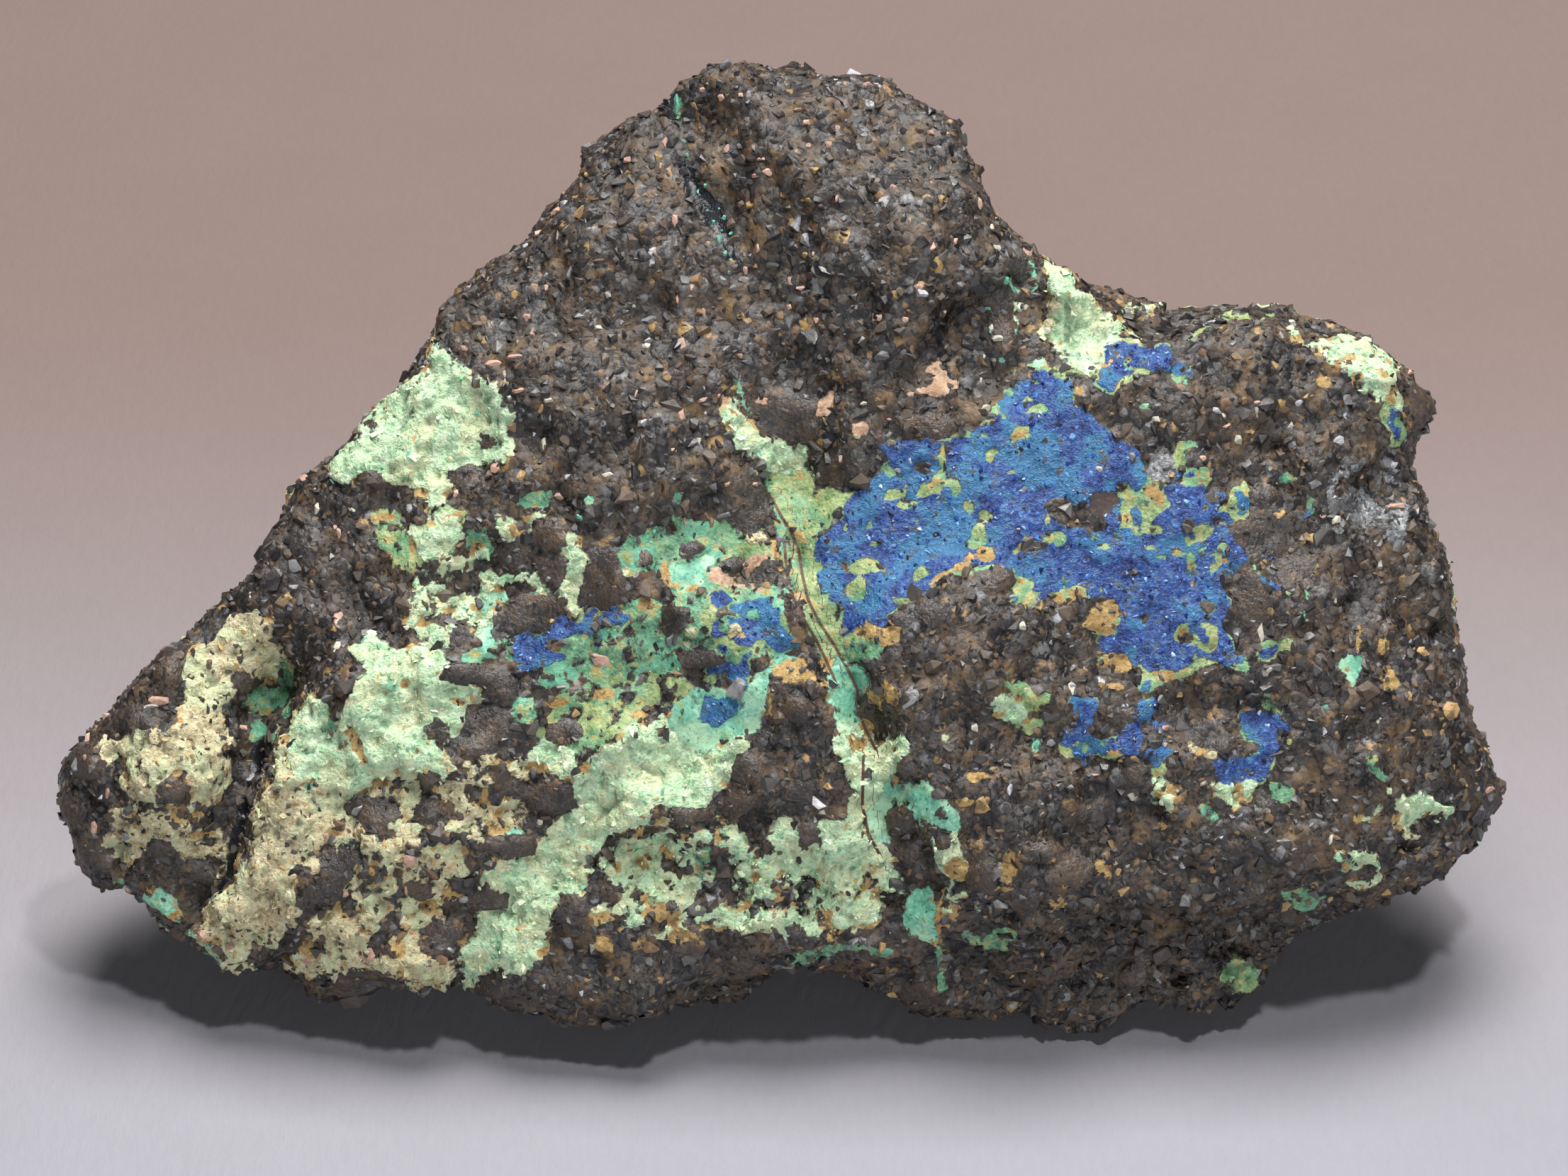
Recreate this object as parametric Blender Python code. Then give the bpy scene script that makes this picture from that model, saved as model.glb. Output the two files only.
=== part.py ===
"""Azurite specimen: one broken lump of coarse brown sandstone with blue and green copper minerals on its broad face.

Metres, +Z up. The lump stands on three flats of its underside, with its broad face looking towards -Y and upwards.
The origin is under the middle of its box, on the surface that it stands on.
"""

import math

import bmesh
import bpy
import numpy as np
from mathutils import Vector, noise

# Driving dimensions, in millimetres and degrees.
MM = 0.001
FACE_RISE_DEG = 38.0  # how far the broad face's normal rises above the horizontal
FACE_CENTRE = (0.0, -2.4, 31.2)  # x, y, z of the middle of the face's outline
FACE_SHOULDER = 4.0  # how squarely the face turns over into the rim
BACK_SHOULDER = 2.6  # the same for the back
THINNEST_BACK = 2.0  # the least thickness behind the rim's plane
REAR_WALL_Y = 29.0
FLAT_WITHIN = 1e-4  # a point this near the surface that the stone stands on lies on it
BALL_SUBDIVISIONS = 7
BALL_STRETCH = (1.5, 1.0)  # spreads the ball's points evenly along the longer way of the face
EVEN_SIDE = 0.8  # side of the even faces that the surface is made of before it is thinned
MOST_TRIANGLES = 9600

# The outline of the broad face, seen square on: millimetres right of and above its middle, clockwise from the top.
OUTLINE = (
    (0.0, 43.4), (4.0, 42.9), (7.6, 43.3), (9.2, 41.9), (12.2, 40.1), (14.4, 38.4), (15.2, 35.8), (16.6, 34.3),
    (16.9, 31.6), (19.2, 29.8), (21.2, 28.2), (23.0, 26.6), (26.5, 25.4), (30.0, 24.7), (33.6, 23.2), (36.9, 23.2),
    (38.4, 24.3), (41.5, 24.0), (44.6, 23.3), (47.2, 21.6), (50.4, 20.1), (53.2, 19.1), (54.2, 17.6), (53.8, 14.4),
    (52.2, 12.4), (51.7, 10.0), (52.2, 7.6), (53.4, 5.4), (54.6, 3.0), (55.5, 0.6), (55.4, -3.8), (56.4, -8.0),
    (57.6, -11.2), (59.2, -13.4), (59.8, -15.4), (59.1, -17.9), (57.6, -20.2), (55.0, -22.4), (51.0, -24.8),
    (46.4, -26.9), (41.9, -28.2), (40.3, -30.0), (39.4, -33.6), (35.6, -34.2), (30.8, -35.0), (25.4, -35.5),
    (19.6, -35.0), (15.0, -35.0), (11.8, -35.4), (8.4, -33.8), (4.6, -32.6), (0.6, -32.2), (-4.6, -32.7),
    (-9.2, -33.4), (-12.4, -35.0), (-16.2, -35.8), (-21.6, -35.6), (-25.2, -34.8), (-26.4, -32.6), (-29.4, -33.6),
    (-34.8, -34.3), (-39.6, -33.9), (-43.6, -32.4), (-47.4, -30.6), (-50.4, -28.2), (-53.6, -25.8), (-57.4, -23.6),
    (-59.6, -20.6), (-60.4, -17.6), (-59.8, -14.4), (-57.0, -11.4), (-53.2, -7.2), (-48.6, -2.6), (-44.2, 1.2),
    (-42.0, 4.8), (-40.4, 8.2), (-37.4, 11.6), (-34.0, 14.6), (-30.9, 17.8), (-29.8, 20.8), (-27.6, 24.6),
    (-24.4, 27.2), (-21.2, 29.0), (-18.6, 32.0), (-15.6, 35.4), (-12.4, 38.1), (-9.8, 39.6), (-8.2, 41.7),
    (-4.4, 43.1),
)

# The broad breaks that the front is made of: right, up and out of a point on each, then its slope to the right and up.
FRONT_BREAKS = (
    ((24.0, 4.0, 9.6), (0.00, -0.02)),
    ((-10.0, 24.0, 9.0), (0.16, -0.14)),
    ((8.0, 34.0, 8.6), (-0.10, -0.30)),
    ((-44.0, -12.0, 9.2), (0.24, 0.10)),
    ((0.0, -20.0, 11.4), (0.02, 0.14)),
    ((50.0, -8.0, 8.8), (-0.34, 0.02)),
    ((30.0, -24.0, 10.2), (0.02, 0.26)),
)
BREAK_BLEND = 1.2  # how softly two breaks meet

# Hollows and lines pressed into the front: the line down the middle, its half width and its depth.
GROOVES = {
    "vein_valley": (((-8.5, 38.0), (-5.0, 30.0), (-3.5, 22.0), (-2.5, 16.0), (-0.5, 10.0)), 4.5, 1.8),
    "vein": (((-0.5, 12.0), (1.0, 3.0), (4.0, -6.0), (6.0, -13.0), (8.5, -20.0), (12.0, -29.0)), 1.3, 0.7),
    "left_gully": (((-42.0, -8.0), (-43.6, -12.0), (-45.0, -17.0), (-46.6, -22.0), (-48.6, -25.5)), 1.8, 7.0),
    "gully_mouth": (((-40.5, -7.4), (-43.0, -9.0)), 2.6, 2.4),
    "dark_hollow": (((-35.0, -3.0), (-39.0, -1.0)), 3.2, 1.8),
    "lower_hollow": (((-37.0, -17.5), (-31.0, -17.0)), 2.2, 1.6),
    "crust_trough": (((-26.0, -29.0), (-20.0, -22.0), (-12.0, -15.5), (-4.0, -11.0)), 2.6, 1.3),
    "right_cavity": (((33.0, -10.0), (36.0, -11.0)), 2.0, 1.7),
    "right_hole": (((51.0, -20.6), (52.4, -20.2)), 1.3, 2.8),
    "shelf_holes": (((37.6, 11.6), (40.2, 11.4), (43.0, 14.2)), 1.3, 1.4),
    "top_notch": (((7.0, 38.5), (12.0, 36.5)), 1.8, 1.6),
    "centre_pit": (((-12.5, -22.0), (-10.5, -21.0)), 1.5, 1.9),
}

# Lumps that stand out of the front: the line down the middle, half width and height.
RISES = {
    "left_lump": (((-53.0, -11.0), (-52.0, -17.0)), 5.0, 2.2),
    "crust_bank": (((-36.0, -6.0), (-42.0, -16.0), (-45.0, -24.0)), 3.0, 1.6),
    "upper_lump": (((2.0, 32.0), (8.0, 27.0)), 7.5, 1.8),
    "brown_lump": (((-14.0, -31.5), (-20.0, -31.5)), 4.0, 1.4),
    "pale_nodule": (((-30.2, -31.6), (-28.6, -31.8)), 1.9, 1.6),
    "centre_knob": (((-11.0, -17.0), (-14.0, -12.0)), 3.0, 1.1),
    "round_pebble": (((19.8, -17.2), (20.6, -17.0)), 2.0, 0.8),
    "right_bulge": (((44.0, -2.0), (46.0, -14.0)), 6.0, 1.2),
}

# Shelves: an outline on the face that stands off the rest by a step, that step outwards, and how far it is spread.
SHELVES = {
    "rear_shelf": (((22.6, 30.0), (25.2, 26.0), (28.0, 23.6), (29.2, 21.7), (32.0, 21.5), (34.9, 22.6),
                    (40.2, 22.8), (42.8, 21.4), (45.5, 20.8), (48.5, 20.2), (51.5, 18.2), (52.8, 14.4), (58.0, 16.0),
                    (52.0, 27.0), (30.0, 31.0)), -6.5, 2.6),
    "smooth_flat": (((9.0, 17.0), (14.0, 24.5), (20.5, 26.5), (24.0, 20.0), (20.0, 14.8)), -1.3, 1.6),
    "lower_block": (((7.6, 1.6), (13.0, 2.6), (18.2, 1.4), (20.6, -4.0), (24.0, -8.0), (23.0, -25.0), (13.0, -25.0),
                     (8.4, -12.0), (5.6, -3.0)), 1.4, 1.0),
    "grain_bank": (((-3.5, -7.0), (4.0, -7.5), (5.8, -15.0), (5.0, -22.0), (-8.0, -22.0), (-9.0, -15.5)), 1.2, 1.0),
    "dark_flank": (((-25.5, 20.0), (-6.0, 20.0), (-4.0, 9.0), (-14.0, 5.0), (-24.0, 8.5)), 1.0, 1.2),
    "left_foot_back": (((-47.0, -31.2), (-38.0, -31.4), (-31.8, -31.8), (-27.4, -33.0), (-27.0, -40.0),
                        (-47.0, -40.0)), -4.4, 1.4),
    "arch_lip": (((-11.0, -34.2), (-4.0, -31.4), (4.0, -30.6), (10.0, -31.6), (14.0, -34.0), (12.0, -40.0),
                  (-11.0, -40.0)), -3.4, 1.4),
}

# The lip where the front turns under, from left to right, and how steeply it falls back below that.
LIP = ((9.0, -31.5), (13.0, -28.4), (20.0, -27.0), (26.0, -26.0), (35.0, -25.4), (42.0, -25.0), (50.0, -22.6),
       (56.0, -19.4))
LIP_FALL = 0.95
LIP_RUN_IN = 6.0  # over this far at its two ends the fall fades in

# The underside: its height over the surface, and how it climbs to both ends.
UNDERSIDE_Z = 3.4
UNDERSIDE_CLIMBS = ((-30.0, 0.28, -1), (38.0, 0.45, 1))  # x where it starts, how steep, and the side it is on
UNDERSIDE_ROUNDS = 2  # how often its height is worked out again where its own surface then lies
FEET = {"left": (-19.0, -13.0), "right": (25.0, -12.0), "rear": (3.0, 16.0)}  # x and y of each flat's middle
FOOT_RADIUS = 4.6  # of the part of a foot that is cut level
FOOT_REACH = 9.5  # how far out the underside comes down to a foot
FOOT_SPARE = 0.7  # how far a foot reaches below the cut
ARCH = ((2.0, -16.0), 9.0, 3.6)  # x and y of the hollow under the front, its reach and its height

# The rear breaks: a point on each and the way that it faces.
REAR_BREAKS = (
    ((0.0, REAR_WALL_Y, 20.0), (0.08, 1.0, 0.12)),
    ((-34.0, 20.0, 20.0), (-0.52, 0.82, 0.22)),
    ((-52.0, 4.0, 14.0), (-0.80, 0.58, -0.10)),
    ((42.0, 19.5, 24.0), (0.42, 0.90, 0.10)),
    ((52.0, 8.0, 14.0), (0.74, 0.62, -0.26)),
    ((-8.0, 26.0, 50.0), (-0.34, 0.86, 0.36)),
    ((14.0, 27.5, 46.0), (0.30, 0.90, 0.30)),
    ((14.0, 29.0, 3.0), (0.20, 0.72, -0.62)),
    ((-22.0, 22.0, 4.0), (-0.36, 0.62, -0.66)),
)
REAR_BLEND = 1.5  # how softly two rear breaks meet

# Roughness: size of the lumps, how far they stand out and a shift that sets where they fall.
ROUGHNESS = (
    (16.0, 1.1, (3.1, 8.4, 1.7)),
    (6.0, 0.5, (11.3, 2.2, 6.1)),
    (2.8, 0.4, (5.9, 4.4, 9.2)),
)
# Broken facets: their size, how steeply each is tipped on the front and on the back, and a shift.
FACETS = (
    (13.0, 0.16, 0.42, (2.7, 5.2, 8.8)),
    (5.5, 0.30, 0.36, (7.4, 1.9, 3.3)),
)
FACET_REACH = 0.3  # the most that a facet stands out or in, as a share of its size and its slope
TIP_SPREAD = 9.7  # sets each facet's own tip apart from its neighbours'
KNOBS = (3.6, 0.8, 0.45)  # size and height of the grit lumps, and the share of their size that stays level
PITS = (7.5, 0.30, 1.8)  # spacing, radius as a share of the spacing, and depth
RIM_HOLD = 0.25  # the share of the roughness that is left where the rim turns, so that the outline keeps its form
RIM_TURN = 0.7  # how squarely a point faces forwards or backwards, from where it has all of its roughness

# The flat broken seam that the blue mineral coats, and the share of the roughness that is left on it.
SEAM = ((3.0, -4.0), (2.6, 4.0), (5.5, 11.5), (17.5, 15.8), (21.0, 18.4), (26.0, 17.0), (34.5, 10.5), (39.5, 6.5),
        (38.5, -1.0), (40.5, -5.5), (32.5, -7.6), (25.0, -5.0), (19.0, -2.0), (12.0, 1.0))
SEAM_ROUGHNESS = 0.3
SEAM_EDGE = 3.0

# The way round the face's own axes: right, up the face and out of it.
FACE_RISE = math.radians(FACE_RISE_DEG)
RIGHT = np.array((1.0, 0.0, 0.0))
UP = np.array((0.0, math.sin(FACE_RISE), math.cos(FACE_RISE)))
OUT = np.array((0.0, -math.cos(FACE_RISE), math.sin(FACE_RISE)))


def clear_scene():
    """Removes what a new file starts with."""
    for thing in list(bpy.data.objects):
        bpy.data.objects.remove(thing)


def smooth_step(x):
    """0 below 0, 1 above 1, and an even turn between."""
    x = np.clip(x, 0.0, 1.0)
    return x * x * (3.0 - 2.0 * x)


def soft_least(values, blend):
    """The least of several arrays, rounded where two are within about blend of each other."""
    stacked = np.stack(values)
    return -blend * np.log(np.exp(-stacked / blend).sum(axis=0))


def line_distance(u, v, line):
    """How far each point is from a line of straight stretches."""
    nearest = np.full(u.shape, np.inf)
    for (u0, v0), (u1, v1) in zip(line, line[1:]):
        du, dv = u1 - u0, v1 - v0
        along = np.clip(((u - u0) * du + (v - v0) * dv) / (du * du + dv * dv), 0.0, 1.0)
        nearest = np.minimum(nearest, np.hypot(u - u0 - along * du, v - v0 - along * dv))
    return nearest


def inside_by(u, v, outline):
    """How far each point is inside a closed outline, and below 0 outside it."""
    ring = list(outline) + [outline[0]]
    crossed = np.zeros(u.shape, bool)
    for (u0, v0), (u1, v1) in zip(ring, ring[1:]):
        spans = (v0 > v) != (v1 > v)
        rise = v1 - v0 if v1 != v0 else 1e-9
        crossed ^= spans & (u < (u1 - u0) * (v - v0) / rise + u0)
    distance = line_distance(u, v, ring)
    return np.where(crossed, distance, -distance)


def rim_radius(angle):
    """How far the outline is from the face's middle, in each direction."""
    points = np.array(OUTLINE)
    turn = np.arctan2(points[:, 1], points[:, 0])
    order = np.argsort(turn)
    turn, reach = turn[order], np.hypot(points[:, 0], points[:, 1])[order]
    full_turn = 2.0 * math.pi
    turn = np.concatenate((turn[-1:] - full_turn, turn, turn[:1] + full_turn))
    reach = np.concatenate((reach[-1:], reach, reach[:1]))
    return np.interp(angle, turn, reach)


def shoulder(share, squareness):
    """1 over the middle of the face, falling to 0 at the rim."""
    return (1.0 - np.clip(share, 0.0, 1.0) ** squareness) ** (1.0 / squareness)


def front_height(u, v, share):
    """How far the front stands out of the rim's plane."""
    breaks = [w + right * (u - at_u) + up * (v - at_v) for (at_u, at_v, w), (right, up) in FRONT_BREAKS]
    height = soft_least(breaks, BREAK_BLEND)
    for line, half_width, depth in GROOVES.values():
        height = height - depth * np.exp(-((line_distance(u, v, line) / half_width) ** 2))
    for line, half_width, rise in RISES.values():
        height = height + rise * np.exp(-((line_distance(u, v, line) / half_width) ** 2))
    for outline, step, edge in SHELVES.values():
        height = height + step * smooth_step(0.5 + inside_by(u, v, outline) / edge)
    lip_u, lip_v = np.array(LIP).T
    fade = smooth_step((u - lip_u[0]) / LIP_RUN_IN) * smooth_step((lip_u[-1] - u) / LIP_RUN_IN)
    height = height - fade * LIP_FALL * np.maximum(0.0, np.interp(u, lip_u, lip_v) - v)
    return height * shoulder(share, FACE_SHOULDER)


def underside_height(x, y):
    """How high the underside is over the surface that the stone stands on, away from its feet."""
    height = np.full(x.shape, UNDERSIDE_Z)
    for start, slope, side in UNDERSIDE_CLIMBS:
        height = height + slope * np.maximum(0.0, (x - start) * side)
    (arch_x, arch_y), reach, rise = ARCH
    return height + rise * np.exp(-(np.hypot(x - arch_x, y - arch_y) / reach) ** 2)


def back_depth(u, v, share):
    """How far the back lies behind the rim's plane, as a number below 0."""
    plane = u[:, None] * RIGHT + v[:, None] * UP + np.array(FACE_CENTRE)
    depths = []
    for point, facing in REAR_BREAKS:
        facing = np.array(facing) / np.linalg.norm(facing)
        depths.append((plane - np.array(point)) @ facing / (facing @ OUT))
    floor = np.zeros(u.shape)
    for _ in range(UNDERSIDE_ROUNDS):
        under = plane - floor[:, None] * OUT
        floor = (under[:, 2] + floor * OUT[2] - underside_height(under[:, 0], under[:, 1])) / OUT[2]
    depths.append(floor)
    thickness = np.maximum(soft_least(depths, REAR_BLEND), THINNEST_BACK)
    return -thickness * shoulder(share, BACK_SHOULDER)


def push_out_to_the_stone(ball):
    """Moves a round ball's points to the rim, the front and the back of the stone."""
    points = np.array([vertex.co for vertex in ball.verts])
    points /= np.linalg.norm(points, axis=1)[:, None]
    angle = np.arctan2(points[:, 1] * BALL_STRETCH[1], points[:, 0] * BALL_STRETCH[0])
    share = np.hypot(points[:, 0], points[:, 1])
    reach = rim_radius(angle) * share
    u, v = reach * np.cos(angle), reach * np.sin(angle)
    w = np.where(points[:, 2] >= 0.0, front_height(u, v, share), back_depth(u, v, share))
    placed = u[:, None] * RIGHT + v[:, None] * UP + w[:, None] * OUT + np.array(FACE_CENTRE)
    for vertex, place in zip(ball.verts, placed):
        vertex.co = place


def tipped_facet(place, size, shift):
    """How far a point is above the middle of its broken facet, for a facet tipped at 45 degrees."""
    place = place / size + Vector(shift)
    middle = noise.voronoi(place)[1][0]
    tip = noise.cell_vector(middle * TIP_SPREAD) - Vector((0.5, 0.5, 0.5))
    above = (place - middle).dot(tip.normalized())
    return max(-FACET_REACH, min(FACET_REACH, above)) * size


def roughness_share(stone):
    """How much of the roughness each point takes: less where the rim turns and on the flat seam."""
    places = np.array([vertex.co for vertex in stone.verts]) - np.array(FACE_CENTRE)
    facing = np.array([vertex.normal for vertex in stone.verts]) @ OUT
    rim = RIM_HOLD + (1.0 - RIM_HOLD) * smooth_step(np.abs(facing) / RIM_TURN)
    on_seam = smooth_step(0.5 + inside_by(places @ RIGHT, places @ UP, SEAM) / SEAM_EDGE) * (facing > 0.0)
    return rim * (1.0 - (1.0 - SEAM_ROUGHNESS) * on_seam)


def roughen(stone):
    """Gives the whole surface its lumps, facets and hollows, along its own normals."""
    stone.normal_update()
    out_of_face = Vector(OUT)
    moved = []
    for vertex, share in zip(stone.verts, roughness_share(stone)):
        backward = float(smooth_step(0.5 - vertex.normal.dot(out_of_face)))
        out = 0.0
        for size, height, shift in ROUGHNESS:
            out += height * noise.noise(vertex.co / size + Vector(shift), noise_basis="PERLIN_ORIGINAL")
        for size, front_slope, back_slope, shift in FACETS:
            slope = front_slope + (back_slope - front_slope) * backward
            out += slope * tipped_facet(vertex.co, size, shift)
        size, height, level = KNOBS
        out += height * (level - noise.voronoi(vertex.co / size)[0][0])
        spacing, radius, depth = PITS
        nearest = noise.voronoi(vertex.co / spacing)[0][0]
        out -= depth * max(0.0, 1.0 - nearest / radius)
        moved.append(vertex.co + vertex.normal * (out * share))
    for vertex, place in zip(stone.verts, moved):
        vertex.co = place


def lower_feet(stone):
    """Brings the underside down at the three feet, far enough to be cut level."""
    stone.normal_update()
    for vertex in stone.verts:
        if vertex.normal.z > 0.0:
            continue
        for foot in FEET.values():
            away = (vertex.co.xy - Vector(foot)).length
            nearness = float(smooth_step((FOOT_REACH - away) / (FOOT_REACH - FOOT_RADIUS)))
            vertex.co.z -= nearness * max(0.0, vertex.co.z + FOOT_SPARE)


def thinned(stone_mesh):
    """The same surface in even faces, and then in fewer triangles, kept where it bends most."""
    helper = bpy.data.objects.new("helper", stone_mesh)
    bpy.context.scene.collection.objects.link(helper)
    even = helper.modifiers.new("even", "REMESH")
    even.mode = "VOXEL"
    even.voxel_size = EVEN_SIDE
    graph = bpy.context.evaluated_depsgraph_get()
    sides = sum(len(face.vertices) - 2 for face in helper.evaluated_get(graph).data.polygons)
    thin = helper.modifiers.new("thin", "DECIMATE")
    thin.ratio = MOST_TRIANGLES / sides
    graph = bpy.context.evaluated_depsgraph_get()
    made = bpy.data.meshes.new_from_object(helper.evaluated_get(graph))
    bpy.data.objects.remove(helper)
    return made


def cut_flats(stone):
    """Cuts the three feet level, so that they lie on one plane."""
    cut = bmesh.ops.bisect_plane(
        stone,
        geom=stone.verts[:] + stone.edges[:] + stone.faces[:],
        dist=FLAT_WITHIN,
        plane_co=(0.0, 0.0, 0.0),
        plane_no=(0.0, 0.0, -1.0),
        clear_outer=True,
    )
    edges = [item for item in cut["geom_cut"] if isinstance(item, bmesh.types.BMEdge)]
    bmesh.ops.holes_fill(stone, edges=edges, sides=0)
    level = [face for face in stone.faces if all(abs(vertex.co.z) < FLAT_WITHIN for vertex in face.verts)]
    bmesh.ops.triangulate(stone, faces=level)
    bmesh.ops.recalc_face_normals(stone, faces=stone.faces[:])


def centre_over_origin(stone):
    """Slides the stone level until its box is over the origin."""
    points = np.array([vertex.co for vertex in stone.verts])
    middle = (points.min(axis=0) + points.max(axis=0)) / 2.0
    slide = Vector((-middle[0], -middle[1], 0.0))
    bmesh.ops.translate(stone, verts=stone.verts[:], vec=slide)
    print("slid by", [round(part, 3) for part in slide])


def stone_material():
    """The finish of the brown, glinting sandstone."""
    material = bpy.data.materials.new("iron_stained_sandstone")
    material.use_nodes = True
    surface = material.node_tree.nodes["Principled BSDF"]
    surface.inputs["Base Color"].default_value = (0.055, 0.042, 0.034, 1.0)
    surface.inputs["Roughness"].default_value = 0.55
    surface.inputs["Metallic"].default_value = 0.0
    return material


def build_specimen():
    """The whole stone as one object."""
    stone = bmesh.new()
    bmesh.ops.create_icosphere(stone, subdivisions=BALL_SUBDIVISIONS, radius=1.0)
    push_out_to_the_stone(stone)
    roughen(stone)
    lower_feet(stone)
    full = bpy.data.meshes.new("full_surface")
    stone.to_mesh(full)
    stone.free()

    stone = bmesh.new()
    stone.from_mesh(thinned(full))
    cut_flats(stone)
    centre_over_origin(stone)
    bmesh.ops.scale(stone, verts=stone.verts[:], vec=(MM, MM, MM))
    mesh = bpy.data.meshes.new("azurite_specimen")
    stone.to_mesh(mesh)
    stone.free()
    mesh.materials.append(stone_material())
    specimen = bpy.data.objects.new("azurite_specimen", mesh)
    bpy.context.scene.collection.objects.link(specimen)
    return specimen


clear_scene()
build_specimen()
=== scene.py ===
"""Dresses the azurite specimen: a coarse brown sandstone lump with blue, green and cream copper minerals.

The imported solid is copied, refined and covered with real grains, crumbs and chips. Sizes are in millimetres on
the broad face, seen square on from the camera, and in metres in the scene.
"""

import itertools
import logging
import math
from dataclasses import dataclass, field
from enum import Enum
from typing import Iterable, Sequence

import bmesh
import bpy
import numpy as np
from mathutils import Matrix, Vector
from mathutils.bvhtree import BVHTree
from mathutils.kdtree import KDTree


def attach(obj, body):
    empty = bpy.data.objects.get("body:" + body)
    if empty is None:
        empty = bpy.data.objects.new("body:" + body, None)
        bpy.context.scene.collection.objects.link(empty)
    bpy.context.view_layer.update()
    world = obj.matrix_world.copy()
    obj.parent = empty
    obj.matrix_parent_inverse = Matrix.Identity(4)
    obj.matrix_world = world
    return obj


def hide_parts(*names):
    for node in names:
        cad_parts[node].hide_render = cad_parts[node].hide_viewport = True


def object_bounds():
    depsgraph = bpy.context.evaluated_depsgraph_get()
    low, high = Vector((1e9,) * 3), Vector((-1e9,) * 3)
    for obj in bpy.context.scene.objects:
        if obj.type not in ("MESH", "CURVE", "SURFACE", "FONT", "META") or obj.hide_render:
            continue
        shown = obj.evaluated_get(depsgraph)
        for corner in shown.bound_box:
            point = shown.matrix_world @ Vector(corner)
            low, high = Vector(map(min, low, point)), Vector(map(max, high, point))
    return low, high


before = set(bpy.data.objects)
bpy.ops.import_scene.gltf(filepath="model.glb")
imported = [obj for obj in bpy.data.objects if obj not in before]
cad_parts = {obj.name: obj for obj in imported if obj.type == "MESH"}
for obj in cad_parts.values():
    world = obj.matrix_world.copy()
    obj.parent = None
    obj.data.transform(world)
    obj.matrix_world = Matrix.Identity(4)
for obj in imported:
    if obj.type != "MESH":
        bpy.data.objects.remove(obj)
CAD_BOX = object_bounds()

LOG = logging.getLogger("azurite_specimen")
NODE = "azurite_specimen"
BODY = "root"

MM = 0.001
FACE_CENTRE = np.array((0.173, -4.16, 31.2))  # the middle of the broad face, in millimetres
FACE_RISE = math.radians(38.0)
RIGHT = np.array((1.0, 0.0, 0.0))
UP = np.array((0.0, math.sin(FACE_RISE), math.cos(FACE_RISE)))
OUT = np.array((0.0, -math.cos(FACE_RISE), math.sin(FACE_RISE)))
CAMERA_REACH = 379.5  # from the middle of the face to the lens
LENS, SENSOR = 105.0, 36.0
NOT_THERE = -2.0  # how far off a mineral counts as when it is not near


class Mineral(Enum):
    """The coats on the stone, in the order that one lies over another."""

    MALACHITE = "malachite"
    LIME = "lime"
    TEAL = "teal"
    MINT = "mint"
    CREAM = "cream"
    AZURITE = "azurite"
    OCHRE = "ochre"
    TAN = "tan"
    UMBER = "umber"
    # Not a coat: painted shade, a near-black strip where shade falls in the left gully and in the crack at the top.
    PAINTED_CREVICE_SHADE = "painted_crevice_shade"
    SILVER = "silver"


@dataclass(frozen=True)
class Patch:
    """One patch of a mineral on the broad face.

    A solid patch has a high hold, and in a speckled one, with a low hold, the stone shows through.
    """

    mineral: Mineral
    hold: float
    ragged: float
    outline: tuple[float, ...]


@dataclass(frozen=True)
class Streak:
    """A line of a mineral on the broad face, with its half width."""

    mineral: Mineral
    half_width: float
    ragged: float
    line: tuple[float, ...]


A, M, L, T = Mineral.AZURITE, Mineral.MALACHITE, Mineral.LIME, Mineral.TEAL
P, C, O, N = Mineral.MINT, Mineral.CREAM, Mineral.OCHRE, Mineral.TAN

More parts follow.
